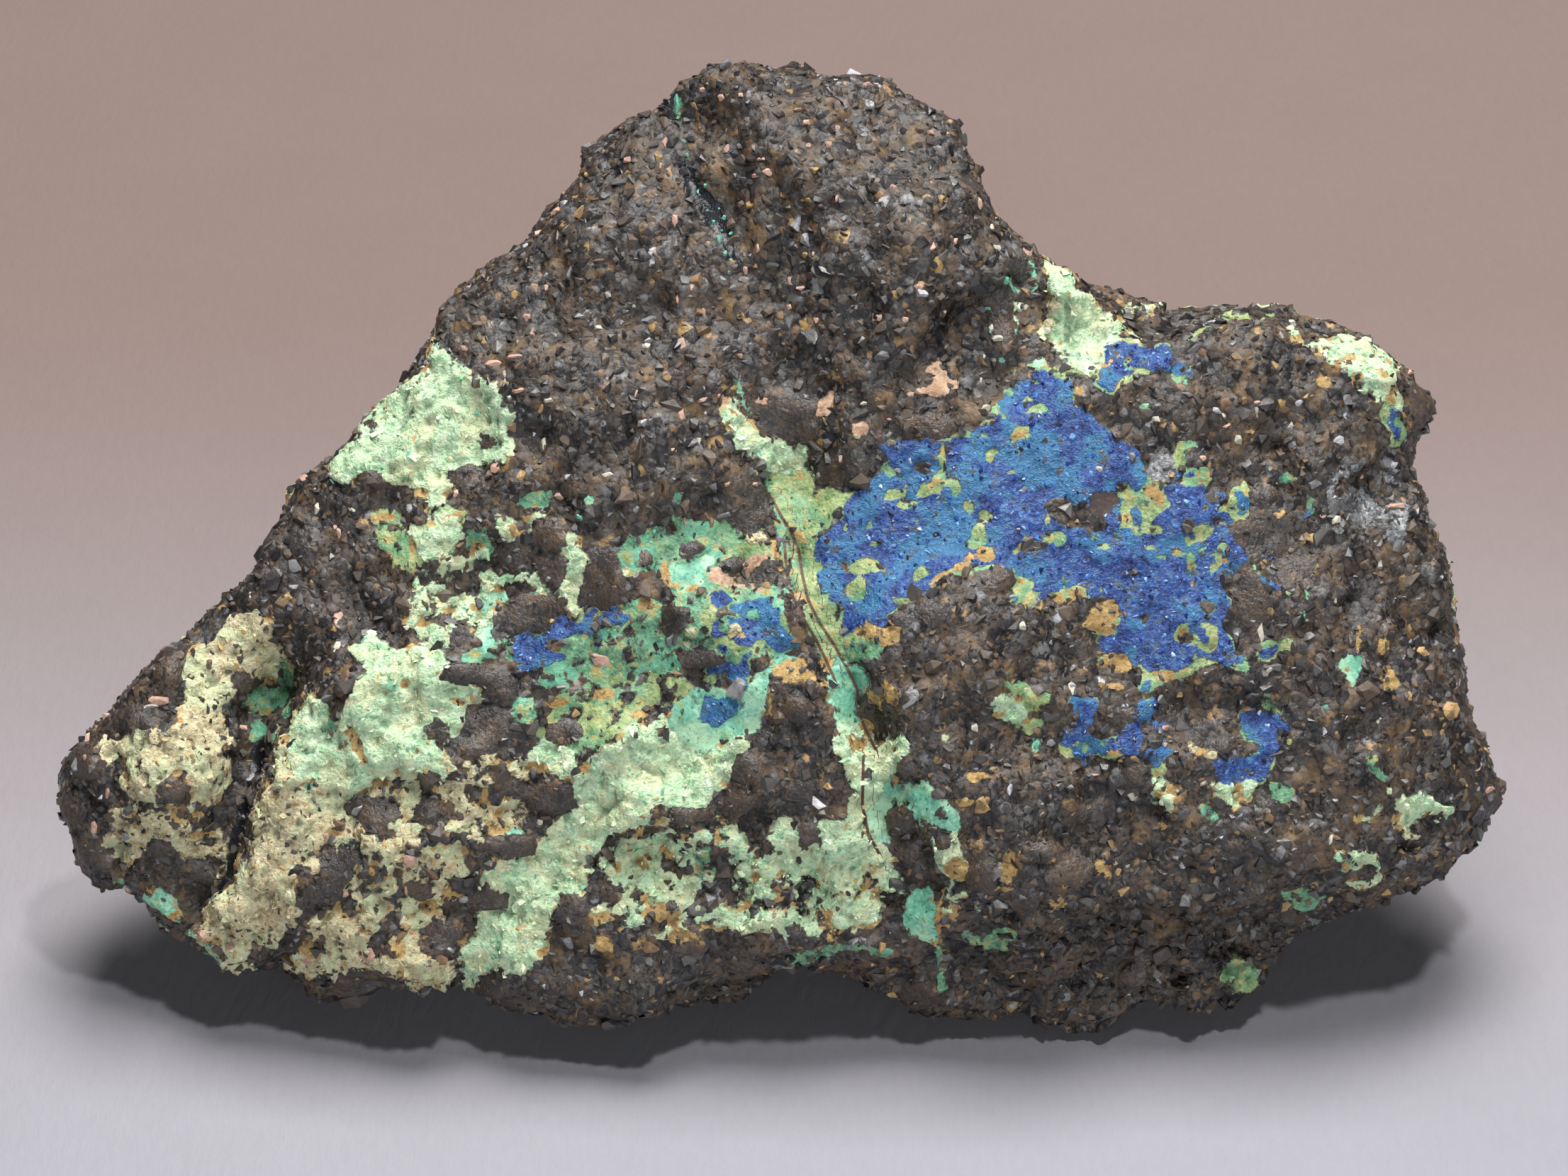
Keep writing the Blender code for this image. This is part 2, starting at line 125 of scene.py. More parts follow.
# Right and up, in turn, of each corner of a patch.
PATCHES = (
    # The blue seam and its smaller fields.
    Patch(A, 1.4, 0.45, (6.9, 12.6, 9.1, 12.2, 11.7, 12.5, 13.9, 12.0, 15.3, 13.3, 17.3, 13.9, 18.1, 16.0, 19.6, 17.4,
                         21.6, 17.9, 23.6, 17.4, 24.2, 16.0, 25.6, 14.3, 26.6, 12.6, 29.8, 10.9, 30.2, 9.0, 32.2, 9.0,
                         33.4, 10.0, 34.9, 9.9, 35.0, 8.4, 38.6, 8.0, 38.8, 6.6, 37.6, 6.1, 38.3, 4.8, 37.8, 3.4,
                         37.6, 1.4, 36.1, 0.6, 37.1, -0.8, 36.5, -3.1, 36.3, -3.9, 37.8, -5.1, 38.8, -5.6, 38.4, -6.7,
                         36.0, -6.4, 34.5, -5.9, 33.4, -7.1, 31.5, -6.7, 29.2, -6.5, 27.8, -5.6, 26.2, -5.2,
                         26.4, -4.1, 27.6, -3.8, 28.1, -2.2, 27.8, -1.0, 24.7, -1.4, 21.9, -1.4, 20.6, -1.9, 19.2, -0.8,
                         19.0, 1.6, 18.3, 2.2, 16.4, 2.1, 14.8, 1.8, 13.3, 1.0, 12.2, -0.3, 10.5, -0.8, 8.9, -2.2,
                         8.0, -3.4, 6.1, -3.4, 5.0, -3.8, 4.9, -1.7, 4.0, -0.3, 3.2, -0.2, 2.8, 1.7, 2.8, 3.9,
                         3.9, 4.8, 4.8, 6.0, 5.0, 7.1, 6.1, 8.1, 8.3, 9.8, 8.9, 10.9, 7.4, 11.4)),
    Patch(A, 0.5, 0.5, (-22.4, -4.2, -20.5, -2.9, -18.9, -1.9, -17.7, -1.9, -17.8, -3.2, -18.6, -4.2, -19.6, -4.8,
                        -18.3, -5.8, -19.5, -6.3, -20.8, -7.2, -22.2, -7.3, -22.6, -5.6)),
    Patch(A, 0.2, 0.5, (-16.8, -1.6, -14.2, -1.6, -12.9, -2.4, -13.4, -3.4, -15.2, -3.0, -14.8, -5.0, -16.0, -4.9,
                        -16.6, -3.2)),
    Patch(A, 0.6, 0.45, (-6.1, -3.2, -4.6, -2.0, -3.2, -0.9, -1.5, -0.9, -0.5, -2.0, 0.5, -3.4, 1.3, -4.9, 0.1, -5.2,
                         -2.2, -4.6, -3.0, -5.2, -2.6, -6.6, -3.0, -8.3, -3.9, -9.0, -4.6, -7.6, -5.4, -7.2,
                         -6.4, -7.6, -6.6, -6.6, -5.2, -5.4, -5.9, -4.2)),
    Patch(A, 0.6, 0.3, (-6.9, -9.9, -6.4, -8.9, -5.0, -9.2, -3.9, -9.4, -3.1, -10.0, -4.4, -10.9, -6.0, -11.5,
                        -7.1, -10.8)),
    Patch(A, 0.5, 0.3, (-6.2, -0.6, -5.2, -0.2, -4.3, -0.8, -4.9, -1.5, -5.9, -1.3)),
    Patch(A, 0.25, 0.5, (26.9, 20.2, 28.6, 20.8, 30.0, 20.1, 31.9, 20.2, 32.6, 19.2, 33.9, 18.8, 34.0, 17.7,
                         32.4, 17.5, 31.0, 18.7, 29.4, 18.4, 28.2, 17.6, 27.2, 16.4, 26.2, 16.8, 26.8, 18.4)),
    Patch(A, 0.5, 0.45, (38.0, -10.5, 39.3, -10.1, 40.8, -10.5, 41.6, -11.6, 40.9, -12.9, 40.6, -14.5, 40.4, -15.8,
                         38.2, -15.8, 37.0, -16.4, 35.8, -16.1, 35.7, -14.4, 37.4, -14.0, 39.2, -13.8, 39.2, -12.9,
                         38.3, -12.3)),
    Patch(A, 0.2, 0.6, (23.4, -12.4, 24.8, -12.0, 26.6, -12.6, 28.6, -11.8, 29.3, -10.6, 29.2, -8.2, 30.2, -7.6,
                        31.2, -9.6, 31.2, -11.6, 31.8, -12.8, 31.3, -14.6, 29.4, -14.0, 27.0, -13.6, 25.2, -15.2,
                        23.8, -14.0)),
    Patch(A, 0.2, 0.5, (24.1, -8.8, 25.6, -9.4, 25.6, -11.4, 24.6, -11.3)),
    Patch(A, 0.4, 0.3, (39.3, -4.6, 40.2, -4.1, 41.3, -4.8, 40.9, -5.9, 39.6, -5.8)),
    Patch(A, 0.1, 0.4, (43.0, 7.0, 43.9, 6.8, 43.8, 5.6, 43.1, 5.8)),
    # Green and teal films.
    Patch(P, 0.5, 0.4, (-4.8, 14.7, -3.9, 15.6, -3.4, 14.4, -2.6, 13.6, -2.2, 12.6, -1.2, 11.8, 0.0, 12.3, 1.4, 11.8,
                        1.4, 10.4, 0.2, 10.0, -1.2, 10.0, -1.8, 10.8, -2.6, 12.0, -3.6, 12.0)),
    Patch(L, 0.7, 0.4, (-1.1, 9.9, 0.0, 10.1, 1.7, 10.0, 2.6, 9.3, 2.8, 8.5, 4.5, 8.3, 5.6, 8.0, 4.9, 7.0, 4.2, 5.9,
                        3.6, 5.0, 2.7, 4.4, 2.7, 1.6, 3.1, -0.6, 4.2, -1.2, 4.8, -3.6, 4.6, -6.0, 3.8, -6.4, 2.4, -3.6,
                        1.9, -1.6, 1.0, -0.4, 0.2, 0.6, 0.6, 2.6, 0.3, 5.7, -0.5, 6.7, -1.0, 7.8)),
    Patch(M, 0.5, 0.5, (-0.4, -0.2, 1.2, -0.6, 2.0, -2.2, 3.4, -4.6, 4.6, -6.2, 6.4, -6.4, 8.2, -6.0, 8.2, -4.4,
                        6.2, -3.4, 4.8, -3.8, 4.6, -1.8, 3.8, -0.2, 2.8, 0.2, 1.6, 1.4, 0.6, 1.6)),
    Patch(M, 0.5, 0.6, (-9.9, 1.8, -8.4, 2.2, -6.3, 2.6, -5.3, 2.4, -5.6, 1.4, -6.8, 0.9, -6.4, 0.3, -4.8, 0.1,
                        -2.0, 0.0, -0.2, -0.6, -0.2, -3.4, 0.8, -5.2, -1.4, -5.0, -3.6, -5.0, -4.6, -3.0, -6.0, -2.0,
                        -6.4, -3.4, -7.8, -3.5, -8.8, -2.2, -9.3, -0.6, -9.8, 0.6)),
    Patch(M, 0.4, 0.65, (-14.1, 3.1, -11.4, 4.4, -8.6, 5.9, -5.1, 4.7, -2.6, 3.8, -0.7, 3.1, -0.4, -0.8, 1.2, -5.1,
                         -1.9, -5.9, -3.5, -8.3, -7.0, -6.3, -9.0, -6.7, -12.9, -7.9, -16.0, -7.5, -18.0, -8.3,
                         -20.4, -7.9, -20.0, -6.2, -18.0, -4.3, -14.5, -2.8, -12.1, -0.4, -9.8, -1.2, -9.0, 1.2,
                         -14.1, 1.5)),
    Patch(L, 0.1, 0.7, (-16.0, -7.4, -9.6, -7.0, -7.6, -8.6, -10.6, -10.4, -14.0, -12.8, -18.0, -14.4, -20.4, -12.2,
                        -18.6, -9.6)),
    Patch(T, 0.5, 0.4, (-9.7, 0.4, -9.6, 1.8, -7.4, 2.4, -5.6, 2.5, -6.8, 1.2, -6.4, 0.4, -8.2, 0.1)),
    Patch(L, 0.2, 0.5, (-4.9, 5.8, -4.1, 6.2, -3.2, 4.2, -1.8, 4.8, -1.6, 2.8, -3.2, 2.2, -4.8, 1.8, -4.9, 3.6)),
    Patch(M, 0.2, 0.6, (-11.4, 3.4, -9.2, 3.2, -8.4, 4.6, -7.2, 5.2, -8.0, 6.0, -9.4, 6.2, -10.0, 5.0)),
    Patch(M, 0.3, 0.4, (-22.4, 7.2, -21.2, 7.9, -19.4, 7.9, -19.8, 7.0, -21.4, 6.6)),
    Patch(M, 0.25, 0.6, (-12.6, -4.6, -11.4, -5.0, -10.6, -6.6, -9.6, -5.4, -8.8, -5.0, -8.8, -7.0, -10.4, -7.4,
                         -12.4, -8.2, -14.6, -7.6, -13.0, -6.4)),
    Patch(M, 0.3, 0.4, (-15.2, -4.8, -13.7, -4.2, -12.9, -5.4, -14.2, -6.8, -15.4, -6.4)),
    Patch(M, 0.4, 0.3, (-19.2, -7.0, -18.3, -6.6, -17.6, -7.3, -18.4, -8.0)),
    Patch(M, 0.6, 0.3, (-22.6, -9.2, -21.6, -8.6, -20.6, -9.2, -20.6, -10.4, -21.6, -11.1, -22.6, -10.4)),
    Patch(M, 0.25, 0.5, (-24.0, -10.4, -22.9, -10.0, -22.4, -11.0, -23.0, -12.4, -24.0, -11.6)),
    Patch(T, 0.7, 0.45, (-9.8, -10.6, -8.8, -9.5, -7.8, -8.8, -6.2, -8.3, -4.5, -8.3, -3.1, -8.5, -2.8, -6.8,
                         -1.5, -6.3, -0.4, -5.5, 1.2, -5.6, -0.8, -7.0, -1.1, -8.6, -1.6, -10.0, -2.0, -11.3,
                         -3.1, -12.5, -5.0, -12.9, -5.2, -14.6, -6.0, -17.3, -7.3, -16.0, -8.4, -13.8, -9.8, -12.5)),
    Patch(T, 0.8, 0.4, (3.5, -6.2, 5.2, -6.2, 6.6, -6.8, 7.3, -8.0, 6.3, -9.4, 6.4, -11.6, 7.2, -13.2, 8.2, -14.2,
                        9.0, -12.2, 9.7, -12.2, 9.8, -13.8, 9.2, -15.0, 9.0, -16.1, 11.4, -16.1, 12.6, -17.0,
                        14.8, -18.6, 14.8, -19.8, 14.0, -21.4, 13.4, -20.0, 12.2, -19.8, 11.2, -19.5, 10.6, -18.2,
                        9.2, -17.8, 8.4, -19.2, 8.6, -21.0, 7.8, -21.4, 6.6, -20.4, 6.4, -16.0, 5.4, -14.6,
                        4.8, -12.6, 4.0, -11.0, 3.9, -8.6)),
    Patch(P, 0.6, 0.6, (4.7, -11.8, 6.2, -11.6, 7.4, -13.4, 8.6, -12.6, 9.6, -12.4, 9.6, -14.6, 8.0, -16.2, 7.0, -17.6,
                        6.6, -20.4, 7.8, -21.6, 8.6, -23.0, 9.8, -25.4, 8.0, -25.3, 7.8, -27.4, 6.0, -28.3,
                        4.2, -28.4, 3.6, -26.8, 2.9, -25.2, 2.4, -23.8, 1.1, -23.4, -0.3, -23.6, -1.2, -24.2,
                        -2.6, -23.4, -1.7, -22.4, 0.0, -22.2, -0.8, -20.6, 0.5, -19.2, 1.8, -21.0, 3.2, -21.9,
                        3.8, -19.6, 5.4, -19.4, 6.0, -17.6, 5.6, -15.2, 5.0, -13.6)),
    Patch(T, 0.2, 0.5, (-0.8, -20.8, 0.6, -19.4, 1.6, -21.2, 0.4, -22.4)),
    Patch(T, 0.2, 0.6, (3.8, -20.0, 5.8, -19.8, 6.8, -21.6, 5.2, -22.8, 3.8, -22.0)),
    Patch(T, 0.4, 0.4, (10.4, -25.2, 12.1, -24.4, 12.8, -26.0, 12.7, -28.0, 13.4, -30.2, 12.0, -29.6, 10.4, -29.0,
                        9.9, -27.5)),
    Patch(P, 0.15, 0.6, (12.8, -20.8, 14.2, -20.6, 15.0, -22.4, 14.2, -24.0, 15.4, -26.4, 13.6, -27.6, 12.6, -25.6,
                         13.2, -23.6)),
    Patch(M, 0.3, 0.4, (14.7, -28.4, 16.5, -29.1, 18.5, -28.3, 19.4, -28.8, 18.5, -30.0, 16.0, -30.1, 15.0, -29.7)),
    Patch(P, 0.3, 0.4, (17.2, -9.2, 18.6, -9.0, 19.4, -9.8, 19.9, -10.6, 18.8, -10.8, 17.8, -10.2)),
    Patch(L, 0.12, 0.6, (18.2, -7.8, 20.2, -8.0, 21.8, -9.0, 22.2, -10.6, 20.4, -12.0, 19.0, -11.2, 19.4, -9.4)),
    Patch(P, 0.2, 0.5, (30.4, -17.0, 31.3, -16.1, 32.0, -16.8, 31.9, -18.3, 31.0, -18.9, 30.4, -18.2)),
    Patch(M, 0.2, 0.5, (34.2, -18.0, 35.6, -17.8, 36.2, -19.0, 35.6, -20.2, 34.8, -19.2)),
    Patch(P, 0.35, 0.4, (35.4, -16.2, 37.4, -16.6, 38.8, -15.9, 38.8, -17.2, 37.4, -18.1, 36.2, -17.2)),
    Patch(M, 0.3, 0.4, (40.3, -16.0, 41.8, -16.2, 42.5, -17.4, 41.6, -18.1, 40.6, -17.2)),
    Patch(L, 0.3, 0.4, (39.2, -8.8, 40.6, -8.4, 41.3, -9.4, 40.9, -10.6, 39.8, -10.2)),
    Patch(T, 0.4, 0.35, (45.8, -6.2, 47.0, -5.4, 48.2, -5.3, 48.1, -6.6, 47.3, -8.0, 46.7, -6.9, 45.9, -7.0)),
    Patch(M, 0.3, 0.4, (48.4, -14.0, 49.4, -13.9, 49.8, -15.4, 50.4, -16.0, 49.4, -16.1, 48.6, -14.9)),
    Patch(P, 0.4, 0.35, (50.6, -17.2, 52.0, -17.7, 53.2, -17.3, 53.9, -18.0, 55.1, -18.5, 54.0, -18.9, 52.7, -19.1,
                         51.9, -19.8, 50.8, -19.5, 51.3, -18.6)),
    Patch(P, 0.12, 0.6, (46.2, -22.6, 48.0, -22.2, 49.2, -23.2, 48.8, -24.6, 47.0, -24.2)),
    Patch(M, 0.08, 0.7, (41.6, -25.6, 43.6, -24.8, 45.2, -25.8, 44.4, -27.4, 42.0, -27.4)),
    Patch(L, 0.2, 0.6, (36.0, -32.0, 37.6, -31.0, 39.4, -31.8, 39.4, -33.4, 37.0, -33.6)),
    # The top right crust and the strip behind it.
    Patch(P, 0.9, 0.4, (22.2, 26.9, 23.9, 25.8, 24.1, 24.4, 25.3, 24.0, 26.4, 22.4, 28.0, 22.0, 27.8, 20.2, 26.7, 19.2,
                        25.2, 18.3, 23.9, 18.7, 23.1, 20.4, 21.5, 21.2, 22.2, 22.5, 23.1, 23.7, 21.8, 24.9,
                        22.4, 25.7)),
    Patch(T, 0.5, 0.5, (24.6, 21.2, 26.4, 21.0, 28.0, 20.9, 27.7, 20.0, 26.6, 19.3, 25.0, 19.2, 24.2, 20.0)),
    Patch(P, 0.2, 0.4, (27.9, 24.7, 29.2, 24.3, 30.4, 23.5, 30.2, 22.7, 29.2, 23.0, 28.5, 24.0)),
    Patch(P, 0.3, 0.5, (44.0, 20.4, 45.2, 20.9, 46.8, 21.0, 47.4, 20.0, 48.5, 20.0, 49.8, 20.0, 50.6, 18.6, 50.4, 17.2,
                        50.2, 16.4, 51.0, 15.5, 50.3, 14.4, 49.4, 15.6, 48.4, 16.4, 48.2, 18.0, 47.2, 18.4,
                        46.4, 19.1, 45.3, 19.5)),
    # The pale crust from the upper left down to the left lump.
    Patch(P, 1.4, 0.5, (-29.5, 20.2, -27.8, 18.9, -26.6, 17.8, -26.2, 16.4, -25.2, 17.1, -24.0, 17.1, -23.2, 15.7,
                        -22.9, 14.2, -23.3, 12.6, -22.6, 11.8, -23.0, 10.9, -24.4, 10.6, -25.8, 9.9, -27.2, 9.5,
                        -28.0, 8.4, -28.9, 7.2, -29.8, 7.8, -30.4, 8.7, -32.0, 9.0, -33.9, 9.5, -35.1, 9.4,
                        -36.2, 8.9, -37.7, 9.5, -37.7, 10.7, -35.9, 11.2, -34.8, 12.4, -35.4, 13.1, -34.0, 14.6,
                        -32.5, 16.3, -31.4, 16.8, -30.3, 17.2, -29.4, 18.6)),
    Patch(L, 0.5, 0.6, (-34.2, 6.2, -33.0, 6.6, -31.9, 6.2, -31.0, 4.8, -30.2, 5.6, -29.3, 6.6, -27.8, 6.8,
                        -26.4, 6.5, -26.2, 5.2, -26.9, 4.3, -26.9, 3.1, -28.0, 2.5, -29.5, 1.7, -31.0, 1.2,
                        -32.5, 1.8, -33.4, 3.2, -34.1, 4.4)),
    Patch(P, 0.35, 0.5, (-31.2, 5.0, -29.4, 6.0, -27.2, 5.8, -26.8, 4.2, -28.2, 3.0, -30.2, 3.0)),
    Patch(M, 0.3, 0.6, (-26.3, 5.6, -24.9, 4.8, -24.0, 3.2, -25.0, 2.2, -26.6, 2.9)),
    Patch(P, 0.25, 0.4, (-23.8, 5.8, -21.8, 5.4, -20.2, 5.7, -20.6, 4.9, -22.2, 4.6, -23.0, 4.1)),
    Patch(P, 0.15, 0.5, (-30.6, 0.4, -29.4, 2.6, -28.0, 2.4, -26.4, 2.6, -25.0, 2.8, -26.2, 1.6, -28.0, 0.8,
                         -29.0, -1.2, -30.2, -1.0)),
    Patch(P, 0.4, 0.4, (-25.2, 1.2, -24.2, 1.2, -23.4, 0.5, -24.4, 0.1)),
    Patch(P, 0.12, 0.7, (-30.8, -1.6, -29.3, -2.2, -28.0, -1.4, -26.6, -0.8, -24.8, -1.0, -24.6, -2.6, -25.6, -3.6,
                         -27.0, -3.0, -28.2, -3.8, -29.7, -4.1, -30.6, -3.0)),
    Patch(T, 0.4, 0.4, (-25.4, -0.4, -24.3, 0.1, -22.7, -0.2, -23.2, -1.2, -24.1, -1.8, -24.2, -3.2, -23.8, -4.8,
                        -25.3, -5.4, -25.9, -4.0, -25.3, -2.5)),
    Patch(M, 0.25, 0.5, (-23.2, -4.0, -21.4, -4.6, -22.4, -6.4, -24.2, -6.6, -26.6, -5.9, -25.6, -5.0)),
    Patch(M, 0.3, 0.4, (-21.9, -1.0, -20.9, -0.6, -20.3, -1.4, -21.2, -2.2)),
    Patch(P, 0.5, 0.3, (-18.5, 4.4, -17.6, 4.1, -17.4, 3.0, -16.6, 2.7, -16.8, 0.6, -16.3, -1.2, -17.6, -2.1,
                        -18.7, -1.2, -19.5, -0.2, -20.6, 0.9, -18.4, 0.7, -18.9, 1.7, -17.9, 2.5)),
    Patch(P, 1.2, 0.6, (-35.8, -4.9, -34.3, -3.8, -33.0, -4.3, -32.4, -5.2, -30.8, -5.3, -29.0, -5.5, -28.3, -6.5,
                        -28.8, -7.4, -27.2, -7.9, -25.4, -8.3, -25.6, -9.2, -27.2, -9.4, -26.6, -10.4, -26.4, -11.6,
                        -28.0, -12.2, -29.4, -12.8, -28.4, -14.0, -27.4, -15.0, -28.2, -16.2, -29.8, -15.8,
                        -31.3, -15.4, -33.5, -15.8, -35.0, -16.4, -36.3, -17.4, -38.0, -17.6, -40.0, -16.4,
                        -41.6, -14.5, -40.8, -13.2, -41.2, -12.0, -40.7, -10.5, -39.4, -9.3, -38.3, -9.8,
                        -37.5, -11.2, -36.5, -11.6, -36.1, -10.0, -35.0, -8.9, -35.5, -8.2, -34.3, -7.0,
                        -35.0, -5.9)),
    Patch(C, 0.9, 0.8, (-41.6, -14.5, -40.0, -16.0, -38.0, -16.6, -36.6, -17.6, -38.2, -19.8, -38.8, -21.3,
                        -39.2, -22.8, -40.3, -22.3, -41.7, -22.8, -41.2, -24.6, -41.2, -26.5, -40.9, -28.3,
                        -42.3, -29.4, -44.0, -29.2, -44.8, -31.4, -46.4, -31.2, -46.8, -29.4, -48.0, -29.2,
                        -49.0, -28.2, -47.6, -26.8, -46.8, -25.3, -45.2, -24.0, -44.6, -22.5, -44.5, -20.8,
                        -43.8, -19.3, -42.8, -17.9, -41.7, -16.4)),
    Patch(P, 0.6, 0.8, (-44.6, -24.4, -42.6, -19.4, -41.0, -17.0, -38.6, -17.8, -39.6, -20.4, -41.8, -24.4,
                        -42.4, -28.0, -46.6, -27.0)),
    Patch(T, 0.3, 0.5, (-53.2, -26.2, -52.0, -25.0, -50.2, -25.9, -49.8, -27.6, -48.5, -29.2, -47.0, -30.3,
                        -46.2, -31.6, -47.6, -31.2, -49.0, -29.9, -50.3, -28.8, -51.5, -27.4)),
    Patch(C, 0.9, 0.6, (-49.2, -4.4, -48.0, -4.8, -47.0, -4.0, -45.8, -2.6, -44.0, -2.4, -43.0, -3.8, -42.1, -5.3,
                        -41.3, -7.3, -42.8, -7.8, -44.3, -8.2, -45.2, -7.5, -46.0, -6.8, -45.8, -8.6, -46.6, -10.2,
                        -48.0, -9.9, -49.3, -8.4, -49.9, -7.0, -49.2, -6.0)),
    Patch(C, 0.8, 0.5, (-49.7, -10.2, -48.3, -9.8, -46.9, -10.0, -46.6, -11.5, -45.8, -12.3, -46.6, -13.2, -46.0, -14.6,
                        -46.5, -16.3, -47.5, -17.7, -48.9, -17.4, -49.2, -15.6, -49.0, -14.0, -50.4, -12.6,
                        -51.4, -12.1)),
    Patch(C, 0.7, 0.6, (-56.5, -13.0, -54.5, -12.4, -53.0, -11.5, -51.3, -12.0, -49.5, -13.0, -49.2, -14.2,
                         -51.0, -15.3, -52.1, -16.4, -52.5, -17.9, -53.7, -17.8, -54.7, -16.4, -54.0, -15.0,
                         -54.8, -14.2, -56.2, -14.2)),
    Patch(C, 0.45, 0.8, (-56.2, -18.4, -54.5, -18.0, -53.0, -18.4, -50.8, -18.0, -49.0, -18.4, -48.6, -19.9,
                        -47.0, -20.6, -46.6, -22.4, -47.4, -24.4, -49.0, -24.0, -50.5, -21.6, -52.0, -21.7,
                        -53.6, -22.0, -55.0, -22.4, -56.3, -21.5, -55.3, -20.0)),
    # The pale band across the lower middle, and the speckled crust beside it.
    Patch(P, 1.1, 0.55, (-26.4, -29.2, -25.0, -28.0, -24.9, -26.0, -25.2, -23.8, -23.3, -22.9, -21.7, -22.2,
                         -20.5, -21.9, -19.6, -20.5, -19.0, -19.5, -17.8, -18.5, -17.4, -16.5, -16.9, -15.2,
                         -15.6, -13.9, -14.0, -13.2, -12.5, -12.1, -11.0, -11.2, -10.0, -10.6, -9.6, -11.9,
                         -8.3, -13.0, -6.6, -13.8, -5.3, -12.9, -3.4, -12.4, -3.6, -13.6, -4.3, -14.4, -5.2, -15.8,
                         -6.2, -17.5, -7.5, -18.4, -9.8, -18.2, -10.8, -18.0, -11.5, -19.7, -13.0, -20.0,
                         -14.5, -20.4, -15.5, -21.2, -16.9, -22.0, -16.1, -23.6, -17.0, -25.0, -18.3, -25.7,
                         -19.5, -27.0, -20.0, -28.8, -20.8, -31.0, -21.8, -32.3, -24.0, -31.9, -25.5, -32.4,
                         -26.6, -33.2, -26.3, -31.3)),
    Patch(P, 0.5, 0.3, (-20.8, -13.7, -19.8, -12.7, -18.5, -13.3, -17.5, -14.2, -17.2, -15.9, -18.6, -15.5,
                        -20.0, -14.7)),
    Patch(P, 0.15, 0.7, (-25.6, -13.6, -23.0, -13.8, -21.8, -15.2, -23.0, -17.0, -25.4, -16.4, -26.8, -15.6)),
    Patch(M, 0.1, 0.8, (-29.4, -16.2, -26.0, -16.2, -23.0, -17.4, -23.4, -19.0, -26.4, -19.8, -29.0, -19.0)),
    Patch(P, 0.12, 0.8, (-29.6, -19.4, -26.4, -19.2, -25.6, -22.4, -25.6, -25.8, -28.2, -25.4, -29.8, -22.8)),
    Patch(P, 0.15, 0.6, (-36.6, -21.0, -34.4, -20.0, -32.6, -21.6, -32.4, -24.2, -34.6, -26.2, -36.4, -24.0)),
    Patch(M, 0.3, 0.6, (-14.0, -22.0, -12.0, -21.5, -10.4, -21.6, -10.1, -23.2, -11.2, -24.0, -9.8, -24.8,
                        -9.8, -26.8, -11.2, -26.4, -12.2, -25.0, -13.6, -24.2)),
    Patch(P, 0.1, 0.7, (-13.6, -22.2, -10.6, -21.8, -10.6, -24.4, -9.4, -26.4, -11.6, -25.8, -13.2, -24.0)),
    Patch(M, 0.25, 0.6, (-8.0, -21.6, -5.8, -21.6, -5.0, -23.0, -6.2, -24.6, -8.2, -24.2, -8.6, -22.8)),
    Patch(L, 0.1, 0.7, (-3.2, -22.2, -1.0, -22.0, -0.6, -24.0, -1.6, -26.0, -3.8, -26.6, -3.2, -24.4)),
    Patch(C, 0.5, 0.5, (-32.0, -30.6, -30.4, -30.4, -29.0, -31.2, -27.6, -31.6, -27.6, -33.0, -29.6, -33.4,
                        -31.0, -32.8)),
    Patch(C, 0.2, 0.9, (-35.0, -17.8, -29.4, -14.6, -22.6, -14.2, -20.6, -18.0, -24.5, -24.0, -28.5, -26.4,
                        -31.5, -31.0, -38.0, -32.0, -41.0, -31.5, -38.0, -27.0, -36.0, -22.0)),
    Patch(P, 0.05, 0.9, (-34.0, -17.0, -24.0, -14.0, -21.0, -17.0, -22.0, -21.5, -28.0, -24.4, -33.0, -22.0)),
    Patch(P, 0.0, 0.9, (-13.0, -20.6, -7.0, -19.0, -1.0, -22.0, 4.0, -22.0, 9.0, -26.0, 4.0, -29.0, -4.0, -27.4,
                        -12.0, -29.0, -17.0, -26.4)),
    Patch(C, 0.1, 0.8, (-38.4, -27.4, -35.6, -27.2, -32.0, -28.2, -31.6, -29.8, -34.0, -31.0, -36.4, -30.4,
                        -38.0, -29.2)),
    # Ochre, tan and brown fields.
    Patch(O, 0.3, 0.5, (-1.5, -7.2, -0.3, -6.1, 1.5, -5.7, 3.1, -5.9, 3.9, -7.0, 3.6, -8.2, 2.6, -7.5, 1.0, -7.8,
                        0.0, -7.6, -0.8, -9.3, -1.2, -10.6, -1.8, -9.0)),
    Patch(O, 0.15, 0.6, (5.8, -3.6, 7.4, -3.2, 9.4, -3.6, 9.2, -4.6, 7.2, -5.0)),
    Patch(O, 0.15, 0.6, (7.2, -7.2, 9.2, -6.8, 10.0, -8.2, 9.0, -9.6, 7.2, -9.8, 6.6, -8.6)),
    Patch(O, 0.15, 0.5, (25.9, -1.2, 27.0, -0.9, 27.8, -2.2, 27.0, -3.8, 25.9, -3.4, 24.6, -3.0, 24.9, -2.0)),
    Patch(O, 0.2, 0.5, (26.8, -5.6, 28.4, -5.9, 28.6, -7.0, 27.2, -6.6)),
    Patch(O, 0.15, 0.5, (49.4, -6.2, 50.4, -6.2, 51.0, -7.6, 50.4, -8.4, 49.4, -7.4)),
    Patch(N, 0.3, 0.4, (-6.2, 1.6, -4.6, 2.4, -1.6, 2.6, -0.6, 1.6, -1.0, 0.4, -2.2, -0.4, -4.8, 0.4, -6.4, 0.6)),
    Patch(N, 0.9, 0.4, (50.2, 20.4, 52.0, 20.0, 53.6, 19.1, 54.4, 18.2, 53.6, 17.8, 52.0, 18.7, 50.6, 19.4)),
    Patch(Mineral.SILVER, 0.4, 0.5, (30.2, 11.4, 31.8, 11.6, 32.3, 10.2, 32.0, 8.6, 30.7, 8.2, 30.2, 9.4)),
